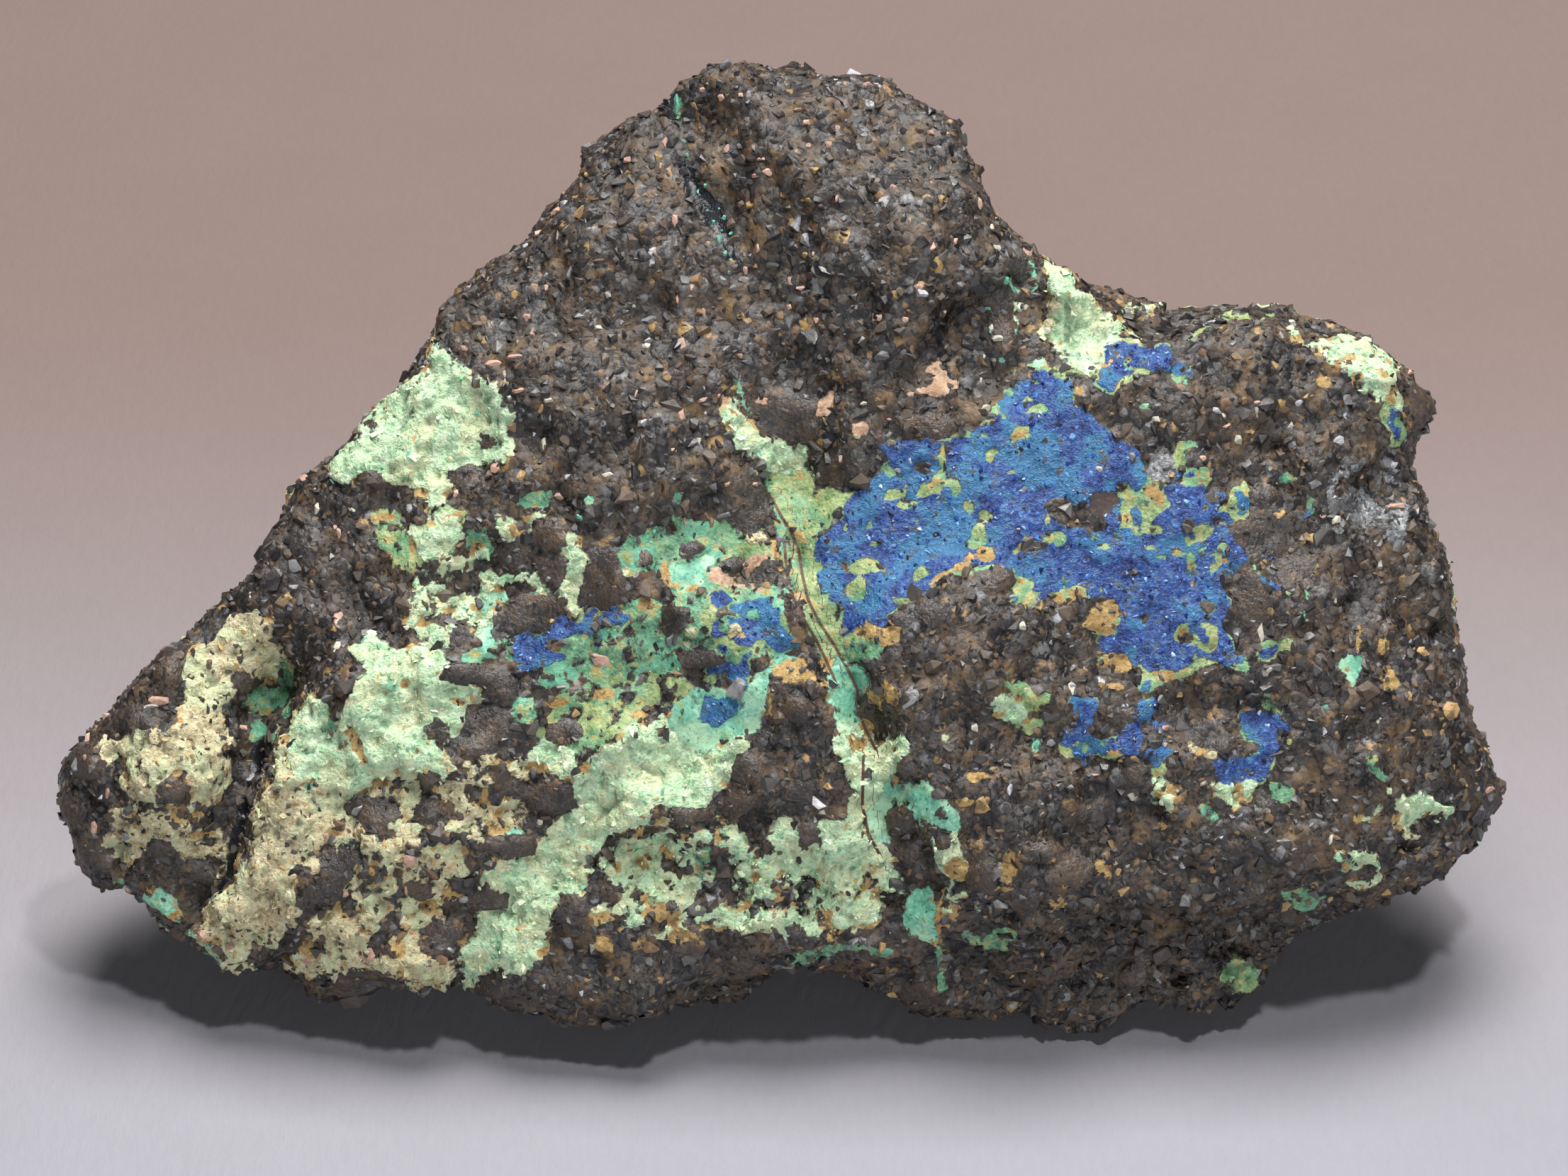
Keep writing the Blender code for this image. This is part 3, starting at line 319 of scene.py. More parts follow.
    Patch(Mineral.SILVER, 0.05, 0.6, (45.4, 9.6, 49.8, 10.2, 51.6, 8.0, 52.0, 4.2, 50.0, 3.6, 48.0, 4.4, 46.0, 5.0,
                                      45.2, 7.4)),
    Patch(Mineral.SILVER, 0.3, 0.5, (50.2, 6.6, 51.6, 7.0, 51.9, 5.0, 51.4, 3.8, 50.2, 3.8)),
    Patch(Mineral.UMBER, 0.6, 0.3, (25.2, 7.9, 26.0, 8.3, 27.6, 8.1, 27.9, 7.2, 27.3, 6.0, 26.4, 5.7, 25.6, 6.3)),
    # Painted shade: a near-black strip along the crack at the top, where shade falls.
    Patch(Mineral.PAINTED_CREVICE_SHADE, 0.6, 0.25, (-8.7, 35.6, -7.7, 34.9, -6.6, 33.1, -5.4, 31.8, -4.2, 29.3, -3.9, 27.0, -4.7, 26.8,
                                    -5.5, 28.8, -6.7, 31.0, -8.1, 33.2)),
)

# Where the stone shows through the blue: right, up, half width and half height.
BARE_SPOTS = (
    24.2, 6.0, 1.7, 1.0, 22.9, 6.6, 0.9, 1.0, 25.8, 5.2, 1.0, 0.7, 28.0, 8.4, 0.5, 0.4, 11.4, 9.9, 0.5, 0.4,
    31.6, 12.4, 0.9, 0.7, 30.6, 14.2, 0.7, 0.9, 20.6, 3.4, 1.2, 0.4, 33.6, 5.4, 0.6, 0.5, 36.2, 5.4, 0.6, 0.4,
    7.7, 11.2, 0.7, 0.6, 35.6, 7.7, 0.7, 0.5, 12.6, 6.0, 0.3, 0.3, 30.0, -2.4, 0.4, 0.3, 33.4, -4.2, 0.5, 0.4,
    35.2, -1.6, 0.5, 0.6, 5.0, 1.9, 0.3, 0.5, 29.2, 1.2, 0.4, 0.3, -2.4, -2.2, 0.5, 0.4, -5.0, -3.0, 0.4, 0.5,
)

# Thin lines of a mineral: right and up, in turn, of each of their points.
STREAKS = (
    Streak(M, 0.35, 0.12, (-1.8, 10.4, -1.1, 8.6, -0.9, 7.2, -0.4, 5.8, 0.1, 3.8, 0.4, 1.0)),
    Streak(T, 0.3, 0.15, (-3.9, 17.4, -3.4, 16.0, -2.7, 14.6)),
    Streak(P, 0.4, 0.15, (-2.7, 13.6, -2.2, 12.4, -1.5, 11.0, -1.2, 10.0)),
    Streak(M, 0.2, 0.2, (-8.9, 40.6, -8.8, 39.2)),
    Streak(P, 0.28, 0.2, (-8.0, 34.5, -7.6, 33.5, -7.1, 32.4)),
    Streak(T, 0.16, 0.15, (-5.3, 29.2, -5.1, 28.4, -4.8, 27.6)),
    Streak(T, 0.26, 0.25, (20.4, 27.0, 21.0, 26.0, 20.9, 25.0, 20.2, 24.4, 19.3, 24.6, 18.8, 25.4)),
    Streak(P, 0.24, 0.15, (19.4, 23.6, 18.9, 22.8, 19.1, 21.8)),
    Streak(P, 0.2, 0.2, (28.1, 22.0, 29.2, 21.4, 30.3, 20.8)),
    Streak(L, 0.08, 0.3, (33.6, 20.8, 35.4, 22.0, 37.0, 22.6, 39.0, 22.3, 40.6, 22.8)),
    Streak(P, 0.08, 0.2, (42.0, 21.6, 43.8, 20.2)),
    Streak(L, 0.22, 0.2, (19.0, 18.0, 20.2, 18.6, 22.2, 18.3, 25.6, 18.0)),
    Streak(M, 0.4, 0.3, (1.0, -31.0, 2.5, -30.3, 4.5, -29.9, 6.3, -29.8, 8.5, -30.5)),
    Streak(M, 0.3, 0.3, (12.9, -30.0, 13.3, -33.5)),
    Streak(P, 0.3, 0.25, (47.6, -19.0, 48.8, -19.4, 49.6, -18.3)),
    Streak(C, 0.28, 0.25, (33.8, -13.0, 34.8, -13.5, 35.7, -13.8)),
    Streak(A, 0.3, 0.25, (38.2, 2.5, 39.4, 3.0, 40.6, 2.8)),
    Streak(A, 0.3, 0.25, (38.8, 1.1, 40.2, 0.6, 41.2, 0.3)),
    Streak(A, 0.35, 0.3, (50.4, 15.0, 50.5, 13.6, 51.0, 12.6)),
    Streak(O, 0.3, 0.25, (12.2, 0.2, 12.8, 1.0, 13.8, 1.5, 15.2, 2.0)),
    Streak(O, 0.22, 0.2, (-0.9, 4.0, -0.5, 2.6, -0.1, 1.0)),
    Streak(O, 0.22, 0.2, (0.7, 5.4, 1.3, 4.2, 2.0, 3.6)),
    Streak(O, 0.3, 0.25, (-36.3, -11.8, -35.4, -13.2, -34.8, -14.2)),
    Streak(P, 0.35, 0.3, (-23.4, 0.7, -21.6, 0.8, -20.0, 0.4, -18.6, 0.2)),
    Streak(T, 0.25, 0.2, (47.7, -3.6, 47.6, -5.2)),
    Streak(C, 0.25, 0.25, (-29.6, 21.6, -29.4, 20.4)),
    Streak(N, 0.9, 0.4, (44.5, 23.4, 47.5, 22.6, 50.5, 21.4, 53.0, 19.6)),
    # Painted shade: a near-black line down the left gully, where shade falls.
    Streak(Mineral.PAINTED_CREVICE_SHADE, 0.35, 0.35, (-42.6, -10.4, -43.6, -13.0, -44.8, -18.0, -46.0, -22.0, -47.0, -25.0)),
    Streak(C, 0.7, 0.7, (-41.6, -12.0, -42.6, -16.4, -44.0, -20.4, -45.2, -24.0)),
)

# Small spots inside the coats: right, up, half width and half height, one after another.
SPECKS = {
    L: (11.1, 5.7, 0.7, 0.6, 12.1, 4.9, 0.4, 0.5, 12.6, 4.4, 0.4, 0.3, 7.4, 3.7, 0.5, 0.3, 6.1, 3.7, 0.3, 0.5,
        6.6, 1.9, 1.1, 0.5, 6.1, -0.2, 0.8, 0.8, 11.1, 1.4, 0.7, 0.6, 14.2, 8.4, 0.4, 0.8, 13.2, 10.9, 0.6, 1.3,
        18.7, 9.6, 0.7, 0.3, 15.3, 6.6, 0.5, 0.8, 17.6, 11.4, 0.7, 0.8, 16.7, 12.7, 0.7, 0.5, 21.0, 14.9, 1.2, 0.6,
        22.5, 7.8, 0.9, 0.3, 22.8, 3.9, 0.8, 0.6, 24.2, 3.4, 0.6, 0.25, 26.7, 3.5, 0.8, 0.4, 27.6, 4.6, 0.4, 0.6,
        28.2, 5.4, 0.25, 0.4, 30.4, 3.3, 0.5, 0.3, 31.4, 2.6, 0.8, 0.35, 32.6, 2.9, 0.6, 0.4, 33.5, 4.0, 0.35, 0.7,
        34.8, 4.9, 1.0, 0.9, 34.9, 6.4, 0.7, 0.8, 36.4, 3.4, 0.45, 0.45, 19.2, 3.2, 0.5, 0.25, 9.2, 7.6, 0.9, 0.5,
        8.8, 9.8, 0.6, 0.4, 20.2, 15.8, 0.9, 0.4, 18.8, 16.3, 0.6, 0.4, 22.2, 14.6, 0.4, 0.4, 23.6, 13.2, 0.4, 0.3,
        32.9, 10.9, 0.5, 1.0, 33.7, 12.0, 0.8, 0.5, 33.2, 12.9, 0.4, 0.5, 9.8, -1.0, 1.1, 0.5, -3.4, -5.0, 1.0, 0.3,
        -2.0, -4.6, 0.6, 0.4, 35.5, 1.0, 0.5, 0.2, -6.2, -7.6, 0.5, 0.3, 16.2, 4.6, 0.6, 0.9, 16.9, 6.0, 0.9, 0.4,
        17.6, 5.0, 0.4, 0.6, 15.6, 3.8, 0.5, 0.5, 17.2, 3.2, 0.5, 0.3, 3.2, 7.0, 0.9, 0.3, 37.4, 7.2, 0.3, 0.6,
        14.8, 12.9, 0.7, 0.3, 43.6, 6.9, 0.5, 0.8, 38.4, 8.6, 0.4, 0.9),
    O: (16.6, 2.8, 0.7, 0.4, 15.4, 2.6, 0.5, 0.35, 17.6, 4.0, 0.3, 0.6, -9.9, 1.3, 0.3, 0.9, -11.5, -0.6, 0.6, 1.0,
        33.9, 0.4, 0.3, 0.2, 38.0, 4.2, 0.4, 0.2, 6.3, -12.9, 0.8, 0.5, -16.7, -14.9, 0.5, 0.5, -33.3, 5.8, 0.8, 0.4,
        -10.0, -27.2, 1.3, 0.8, -8.2, -29.0, 1.3, 0.5, -15.1, -29.4, 0.8, 0.6, -14.8, -27.4, 1.2, 0.3,
        24.5, 16.2, 0.4, 0.5, 25.4, 15.1, 0.6, 0.4, 38.8, 12.9, 0.7, 0.4, 42.8, 10.1, 0.5, 0.3, 41.3, 15.3, 0.3, 0.4,
        44.9, 17.1, 0.5, 0.6, 48.9, 15.7, 0.3, 0.3, 41.0, 6.2, 0.5, 0.3, 27.4, -5.9, 0.9, 0.4, 31.7, -7.3, 0.8, 0.4,
        27.5, -8.0, 0.8, 0.3, 49.7, -4.8, 0.5, 0.6, 52.0, -9.0, 0.2, 1.0, 31.5, -19.9, 0.5, 0.5, 26.7, -23.0, 0.9, 0.6,
        22.6, -26.3, 0.7, 0.5, 23.5, -24.4, 0.4, 0.4, 18.6, -23.7, 0.7, 0.7, 27.3, -13.7, 0.5, 0.3, 14.8, -17.9, 0.8,
        0.4, 15.9, -15.7, 0.8, 0.4, 14.5, -23.5, 0.8, 1.0, 10.5, -33.6, 1.2, 0.6, 50.5, -13.3, 0.6, 0.3,
        -24.3, -20.2, 0.5, 0.6, -29.6, -26.3, 0.6, 0.5, -20.5, -15.0, 0.5, 0.3, -19.0, -9.6, 0.9, 0.3,
        -15.3, -8.8, 0.9, 0.4, -11.5, -10.5, 0.6, 0.4, 12.8, 26.8, 0.4, 0.7, 1.9, 21.8, 0.6, 0.7, -41.2, -0.6, 0.4, 0.4,
        -31.6, -8.2, 0.5, 0.5, -34.2, -23.6, 0.5, 0.5, -41.6, -12.6, 0.6, 0.5, 20.6, 21.6, 0.3, 0.3),
    C: (-0.3, 12.3, 0.9, 0.2,
        -2.2, 4.2, 0.9, 0.4, -7.7, -3.7, 0.5, 0.5, -8.2, -4.8, 0.4, 0.3, -4.0, -3.4, 0.5, 0.45, 13.4, -12.4, 0.4, 0.4,
        22.0, 21.9, 0.5, 0.5, 22.2, 23.4, 0.5, 0.7, 21.8, 21.4, 0.3, 0.3, 52.1, -20.6, 0.6, 0.2, 1.4, -0.6, 0.5, 0.7,
        -13.9, 1.6, 0.8, 0.5, -19.5, 3.8, 0.7, 0.5, -2.2, 9.4, 0.4, 0.5),
    N: (10.6, 16.2, 0.5, 0.25, 11.6, 16.5, 0.7, 0.3, 13.0, 17.5, 0.9, 1.1, 13.0, 18.7, 0.7, 0.6, 12.6, 16.5, 0.9, 0.5,
        1.2, 14.6, 0.8, 0.5, 2.8, 15.1, 1.1, 0.8, 3.8, 15.9, 0.5, 0.4, -1.8, 15.4, 0.7, 0.35, 6.5, 13.2, 0.6, 0.6,
        -4.9, 15.6, 0.3, 0.3),
    T: (21.0, 18.8, 0.6, 0.3, 18.1, 18.8, 0.3, 0.4, 20.8, -13.1, 0.4, 0.6, 14.0, 14.3, 0.3, 0.4,
        -22.2, -20.2, 0.9, 0.5, 10.8, -10.6, 0.4, 0.6),
    M: (-41.6, -7.6, 1.0, 0.9, -43.0, -9.6, 1.3, 1.5, -41.8, -9.4, 1.0, 1.2, -43.4, -11.6, 0.9, 1.0,
        -37.6, -11.6, 0.6, 0.7, -36.8, -13.2, 0.4, 0.4, -39.2, -16.6, 0.7, 0.5, 20.8, 17.1, 0.7, 0.5, 33.2, 17.2, 0.4,
        0.6, 41.8, 9.1, 0.7, 0.4, -13.6, 2.8, 0.8, 0.5, -16.4, 7.4, 0.4, 0.4, 43.4, -0.3, 0.3, 0.4, -8.8, 7.2, 0.3,
        0.5, -55.3, -24.6, 0.6, 0.4, 47.0, -23.0, 0.5, 0.4, 30.2, 14.9, 0.5, 0.5),
}

# Separate pale chips in the dark stone: right, up, half width and half height.
PINK_CHIPS = (
    -21.3, 22.5, 0.35, 0.35, -20.9, 21.2, 0.3, 0.45, -20.6, 24.9, 0.4, 0.4, -19.6, 24.9, 0.35, 0.3,
    -18.9, 31.3, 0.4, 0.4,
    -20.3, 29.5, 0.5, 0.25, -13.0, 35.5, 0.45, 0.4, -9.8, 36.9, 0.3, 0.5, -9.1, 30.6, 0.3, 0.6, -6.7, 41.4, 0.3, 0.25,
    -5.2, 40.7, 0.3, 0.3, -3.6, 40.9, 0.25, 0.25, -4.6, 36.4, 0.45, 0.35, -1.3, 34.5, 0.5, 0.35, -2.4, 34.2, 0.4, 0.25,
    -1.9, 35.6, 0.4, 0.2, 1.85, 38.6, 0.4, 0.4, 3.8, 36.8, 0.4, 0.35, 2.0, 36.7, 0.35, 0.3, 4.4, 38.2, 0.3, 0.3,
    1.2, 39.7, 0.45, 0.15, 6.9, 41.8, 0.4, 0.2, 9.1, 33.3, 0.45, 0.2, 4.4, 32.3, 0.2, 0.45, 12.2, 37.8, 0.35, 0.25,
    13.5, 37.8, 0.25, 0.2, 16.2, 31.9, 0.35, 0.5, 12.2, 28.4, 0.6, 0.4, 14.2, 28.7, 0.35, 0.4, 15.3, 29.1, 0.25, 0.25,
    20.1, 28.0, 0.5, 0.5, 2.55, 27.8, 0.3, 0.3, 0.7, 25.5, 0.5, 0.4, 1.4, 25.1, 0.5, 0.35, -3.2, 26.4, 0.2, 0.5,
    -2.2, 28.2, 0.2, 0.4, -7.5, 24.9, 0.35, 0.3, -8.8, 24.0, 0.2, 0.4, -6.6, 22.8, 0.2, 0.45, 11.2, 25.0, 0.4, 0.3,
    7.7, 22.5, 0.6, 0.45, 10.0, 22.3, 0.3, 0.25, 2.7, 22.1, 0.35, 0.35, 0.45, 23.3, 0.2, 0.25, -8.5, 20.2, 0.35, 0.6,
    -9.8, 17.8, 0.25, 0.25, -12.5, 16.2, 0.35, 0.5, -6.7, 15.6, 0.5, 0.3, -5.4, 16.0, 0.25, 0.3, -8.5, 14.3, 0.25, 0.6,
    -9.1, 11.5, 0.45, 0.2, 4.8, 10.7, 0.3, 0.3, 8.7, 14.0, 0.3, 0.2, -2.4, 8.6, 0.3, 0.2, -8.2, 5.7, 0.2, 0.45,
    -18.6, 7.6, 0.45, 0.35, -24.0, 18.6, 0.8, 0.35, -22.2, 19.2, 0.7, 0.2, -21.9, 16.4, 0.6, 0.3, -24.0, 9.8, 0.5, 0.7,
    -39.8, 9.1, 0.45, 0.3, -39.0, 8.3, 0.25, 0.2, -37.2, 5.4, 0.25, 0.5, -36.9, 4.6, 0.2, 0.45, -27.2, 7.8, 0.7, 0.5,
    -36.9, -2.6, 0.5, 0.7, -37.9, -0.2, 0.35, 0.15, -49.7, -3.4, 0.6, 0.4, -51.5, -5.0, 0.35, 0.3,
    -55.3, -9.2, 0.4, 0.6,
    -56.3, -10.6, 0.45, 0.35, -57.8, -12.6, 0.3, 0.8, -58.0, -14.0, 0.25, 0.3, -57.2, -19.7, 0.35, 0.8,
    -56.1, -17.0, 0.25, 0.8, -51.8, -9.3, 1.1, 0.4, -46.0, -29.8, 0.5, 0.4, -39.5, -31.0, 0.5, 0.35, -31.0, -22.6, 0.5,
    0.8, -31.3, -24.9, 0.25, 0.7, -34.6, -30.4, 0.8, 0.6, -36.4, -25.4, 0.35, 0.5, -15.0, -6.0, 1.1, 0.5,
    -44.9, -11.6, 0.4, 0.3, -48.2, -28.7, 0.6, 0.35, 36.7, 13.6, 0.4, 0.3, 39.3, 15.4, 0.35, 0.25, 44.8, 6.2, 0.4, 0.4,
    52.0, 17.9, 0.35, 0.3, 34.8, 10.8, 0.3, 0.3, 25.9, -15.5, 0.4, 0.15, 57.6, -14.8, 0.5, 0.4, 58.5, -16.6, 0.6, 0.5,
    31.6, -13.1, 0.3, 0.3, 31.7, -11.6, 0.3, 0.3, 52.1, -11.7, 0.6, 0.25, -38.0, -20.6, 0.3, 0.5, 17.9, 29.4, 0.4, 0.2,
    -16.0, 41.0, 0.3, 0.3, 7.4, -31.2, 0.3, 0.2, 50.8, 6.8, 0.8, 0.3, 47.9, 9.3, 0.3, 0.25, -26.4, 19.9, 0.5, 0.25,
)
PALE_CHIPS = (
    -19.5, 15.6, 0.5, 0.35, -19.9, 11.8, 0.25, 0.8, -23.3, 17.3, 0.3, 0.8, -15.4, 21.6, 0.4, 0.2,
    -11.3, 20.1, 0.7, 0.25,
    6.6, 15.3, 0.4, 0.2, 16.7, 14.9, 0.5, 0.4, 17.3, 21.6, 0.35, 0.3, 17.8, 20.7, 0.55, 0.3, 16.7, 20.9, 0.3, 0.3,
    16.7, 19.2, 0.25, 0.25, 16.4, 17.2, 0.2, 0.3, 17.3, 29.9, 0.4, 0.3, 17.6, 28.2, 0.45, 0.4, 21.8, 21.4, 0.3, 0.3,
    19.7, 23.4, 0.6, 0.5, -38.7, 6.6, 0.3, 0.7, -35.6, 7.0, 0.4, 0.7, -31.3, -3.4, 0.4, 0.3, -37.2, -5.0, 0.5, 0.7,
    29.3, 20.4, 0.5, 0.35, 42.1, 22.0, 0.45, 0.3, 36.6, 14.4, 0.3, 0.3, 39.3, 14.6, 0.25, 0.45, 41.9, 13.7, 0.5, 0.6,
    37.7, 12.3, 0.4, 0.5, 30.9, 14.0, 0.4, 0.3, 19.7, -3.2, 0.5, 0.4, 49.4, -11.0, 0.35, 0.3, 20.0, -8.2, 0.45, 0.35,
    -7.0, 12.2, 0.3, 0.3, -14.6, 9.4, 0.5, 0.2, -52.4, -9.8, 0.8, 0.3, 39.6, -3.6, 0.3, 0.9, 40.4, -6.7, 0.4, 0.4,
    23.9, -8.6, 0.4, 0.8, 29.1, -17.2, 0.6, 0.5, 45.4, -20.9, 0.25, 0.6, 46.5, -10.8, 0.4, 0.3, 21.6, -14.6, 0.25, 0.4,
    -20.3, -19.4, 0.3, 0.3, 3.2, -18.6, 0.3, 0.3, 15.8, -11.6, 0.4, 0.4, 45.8, 5.6, 0.45, 0.5, 26.2, 9.9, 0.3, 0.3,
    13.3, 22.9, 0.2, 0.2, 34.8, -16.2, 0.4, 0.3,
)

TEAL_CHIPS = (
    -6.5, 33.4, 0.18, 0.3, -7.1, 32.9, 0.14, 0.2, -6.4, 31.4, 0.2, 0.14, -5.35, 31.7, 0.16, 0.25, -4.6, 26.2, 0.14, 0.2,
    -5.0, 30.7, 0.2, 0.25, -5.9, 30.4, 0.16, 0.2, -5.15, 29.6, 0.2, 0.16, -4.4, 29.4, 0.16, 0.2, -7.7, 34.1, 0.3, 0.8,
    -5.3, 28.8, 0.25, 0.5, -4.9, 27.8, 0.25, 0.3, -4.4, 27.2, 0.2, 0.16, -8.9, 37.2, 0.16, 0.3, -8.0, 35.9, 0.14, 0.2,
    -8.3, 37.0, 0.14, 0.14, -8.9, 40.2, 0.25, 0.8, 18.4, 25.6, 0.25, 0.4, 17.2, 21.4, 0.2, 0.3, 43.2, -2.2, 0.2, 0.3,
    16.9, 23.2, 0.3, 0.2, 19.2, 21.2, 0.2, 0.35, 45.0, -9.9, 0.2, 0.25, -10.8, 4.6, 0.25, 0.3, -17.0, 5.9, 0.3, 0.3,
)

# The big grains of the broad face, and its pits, which rise by less than 0: right, up, half width, half height and
# how far each rises.
BIG_LUMPS = (
    -20.9, -1.8, 2.8, 1.9, 0.6, -14.8, 0.5, 2.2, 2.6, 0.5, -19.5, 4.5, 1.6, 1.3, 0.5, -19.2, 1.4, 1.4, 1.4, 0.4,
    -22.5, 2.6, 1.2, 1.1, 0.4, -26.2, -7.2, 2.2, 1.2, 0.6, -23.6, -8.2, 1.6, 1.5, 0.6, -24.6, -11.0, 1.9, 1.5, 0.3,
    -18.6, 11.0, 1.1, 0.7, 0.3, -17.7, 8.6, 0.9, 1.3, 0.4, -24.5, 12.1, 0.7, 0.8, 0.2, -34.2, 13.6, 0.6, 0.5, 0.3,
    -26.3, 9.0, 1.6, 1.3, 0.7, -39.8, 3.0, 1.0, 1.6, 0.4, -38.0, 7.1, 0.9, 0.9, 0.3, -34.4, 9.2, 0.9, 0.7, 0.3,
    0.3, 14.2, 2.7, 2.0, 0.45, 4.4, 9.8, 2.3, 1.5, 0.3, 6.4, 10.1, 0.8, 1.1, 0.3, 7.8, 12.3, 0.6, 0.7, 0.2,
    -3.4, 7.6, 2.3, 2.6, 0.25, 12.0, 13.5, 2.7, 1.0, 0.3, -5.0, -2.1, 0.9, 0.5, 0.3, -9.2, -2.6, 1.2, 1.5, 0.4,
    -6.8, -5.8, 1.8, 1.0, 0.5, -11.5, 2.4, 0.8, 0.8, 0.4, -7.6, 3.2, 1.0, 0.8, 0.5, -4.4, 1.9, 0.9, 0.8, 0.4,
    -1.4, 1.3, 1.2, 1.2, 0.3, 9.4, -2.5, 0.9, 0.8, 0.5, 12.0, -2.0, 1.4, 1.2, 0.5, 18.1, 0.9, 1.1, 1.0, 0.5,
    8.9, -5.4, 0.8, 0.7, 0.4, 2.2, -8.2, 0.9, 0.6, 0.4, -0.3, -8.2, 0.6, 0.7, 0.4, 1.2, -10.3, 1.6, 1.2, 0.5,
    -25.3, -13.0, 1.6, 1.2, 0.5, -28.6, -12.0, 1.1, 0.9, 0.4, -33.8, -18.7, 2.4, 1.2, 0.5, -29.8, -18.6, 1.2, 1.1, 0.5,
    -29.6, -15.8, 0.9, 0.8, 0.4, -37.0, -22.8, 1.7, 1.6, 0.5, -19.3, -17.5, 1.9, 1.6, 0.6, -22.2, -16.8, 1.2, 0.9, 0.4,
    -22.4, -21.6, 2.0, 1.2, 0.5, -18.2, -12.0, 1.5, 1.2, 0.4, -38.5, -25.4, 1.4, 1.0, 0.4, -28.4, -28.6, 1.8, 1.2, 0.5,
    -30.2, -25.2, 1.2, 0.8, 0.4, -24.2, -33.0, 1.6, 1.0, 0.4, -22.3, -34.2, 1.8, 1.0, 0.3, -17.3, -26.2, 1.4, 1.1, 0.5,
    -3.1, -14.9, 1.5, 1.5, 0.7, -3.9, -17.9, 1.3, 1.4, 0.7, -7.9, -18.9, 1.3, 0.9, 0.5, -6.1, -18.8, 0.7, 0.7, 0.4,
    2.0, -20.3, 1.1, 1.3, 0.7, 1.3, -17.0, 1.3, 1.1, 0.4, 9.7, -19.1, 1.2, 1.4, 0.8, 10.3, -21.7, 1.0, 1.1, 0.5,
    13.1, -21.2, 0.8, 0.7, 0.5, 10.2, -15.0, 0.9, 0.8, 0.5, 7.0, -15.5, 0.45, 0.6, 0.3, 13.0, -18.7, 0.5, 0.6, 0.4,
    16.6, -23.9, 1.6, 1.6, 0.8, 20.0, -26.5, 1.2, 1.5, 0.8, 18.2, -13.3, 0.7, 1.0, 0.4, 18.1, -18.2, 0.8, 0.7, 0.4,
    -9.3, -26.4, 0.7, 0.6, 0.4, -8.0, -30.0, 1.2, 0.8, 0.3, -7.9, -23.1, 0.5, 0.7, 0.4, 0.9, -28.6, 0.8, 0.7, 0.4,
    11.8, -11.0, 1.2, 1.0, 0.4, -10.1, -12.0, 0.6, 0.5, 0.3, -2.6, -30.4, 0.7, 0.9, 0.4, -3.4, -31.8, 1.4, 1.0, 0.3,
    11.0, -34.0, 2.0, 1.2, 0.4, 24.0, -18.6, 1.3, 1.1, 0.6, 26.4, -18.4, 1.0, 1.2, 0.6, 28.8, -16.0, 1.3, 1.4, 0.4,
    24.0, -23.4, 2.0, 1.6, 0.7, 21.8, -21.9, 1.2, 1.1, 0.6, 25.4, -21.2, 1.8, 0.6, -0.6, 28.4, -31.8, 1.9, 1.7, 0.6,
    36.4, -12.9, 1.0, 0.8, 0.4, 37.2, -21.8, 1.0, 0.9, 0.4, 54.0, -15.8, 0.7, 0.9, 0.4, 50.4, -11.0, 1.0, 0.6, 0.3,
    53.5, -11.0, 0.8, 0.6, 0.3, 40.2, 7.6, 0.9, 0.8, 0.5, 38.8, -1.5, 1.8, 2.1, 0.15, 39.7, 4.2, 2.2, 2.0, 0.15,
    42.2, 1.7, 1.8, 1.4, 0.15, 45.1, -2.4, 0.8, 0.8, 0.4, 53.0, 15.6, 1.3, 3.2, 0.1, 32.4, 24.3, 3.2, 0.8, 0.1,
    41.0, 23.6, 4.2, 0.5, 0.1, 18.0, 22.4, 1.4, 3.0, 0.15, 19.4, 26.9, 1.4, 0.9, 0.1, 24.9, -5.0, 0.9, 0.8, 0.4,
    -51.2, -6.6, 1.6, 1.5, 0.5, -54.1, -11.0, 1.9, 1.1, 0.4, -58.2, -14.8, 1.4, 1.7, 0.4, -59.0, -18.2, 1.5, 1.6, 0.4,
    -50.8, -16.9, 1.6, 1.1, 0.4, -48.8, -23.4, 1.7, 1.3, 0.5, -44.6, -7.8, 1.1, 0.9, 0.4, -45.2, -12.1, 0.9, 0.7, 0.4,
    -57.4, -22.2, 1.5, 1.7, 0.4, -52.0, -21.6, 1.1, 0.8, 0.3, -24.6, -26.0, 1.7, 1.1, 0.4, -34.6, -33.0, 3.2, 1.2, 0.3,
    43.6, 14.1, 0.5, 0.9, -0.9, 40.2, 11.6, 1.2, 0.5, -0.9, 46.8, 15.9, 0.7, 0.6, -0.7, 34.6, 14.4, 1.0, 0.4, -0.7,
    47.2, -1.6, 0.9, 1.4, -0.9, 52.2, -21.7, 1.3, 0.8, -1.2, 36.4, -30.1, 1.6, 0.8, -1.2, -16.2, -22.7, 0.6, 0.8, -0.8,
    43.5, -3.4, 1.2, 0.6, -0.7, 8.8, -26.0, 1.3, 0.6, -0.9, -43.0, -15.0, 0.7, 2.0, -0.8, -13.2, 13.6, 0.4, 1.2, -0.6,
    3.4, -9.4, 0.7, 0.6, -0.6, -1.8, -26.6, 0.5, 0.8, -0.7, 29.8, -22.4, 0.7, 0.9, -0.6, 17.6, -29.6, 0.9, 0.5, -0.7,
)

# Thin brown cracks through the green vein.
CRACKS = (
    (-1.0, 7.4, -0.2, 5.9, 0.6, 4.6, 1.2, 3.2, 1.5, 1.2, 2.0, -1.0, 2.9, -2.8, 4.2, -4.8, 5.2, -6.6, 6.1, -8.4,
     6.0, -9.8, 6.8, -11.8, 7.6, -13.4),
    (0.0, 3.9, 0.2, 1.8, 0.6, -0.4, 1.5, -2.4, 2.6, -4.2, 3.3, -5.6, 4.2, -7.6),
    (6.6, -14.0, 6.5, -18.0, 7.0, -20.4, 8.2, -22.6),
)


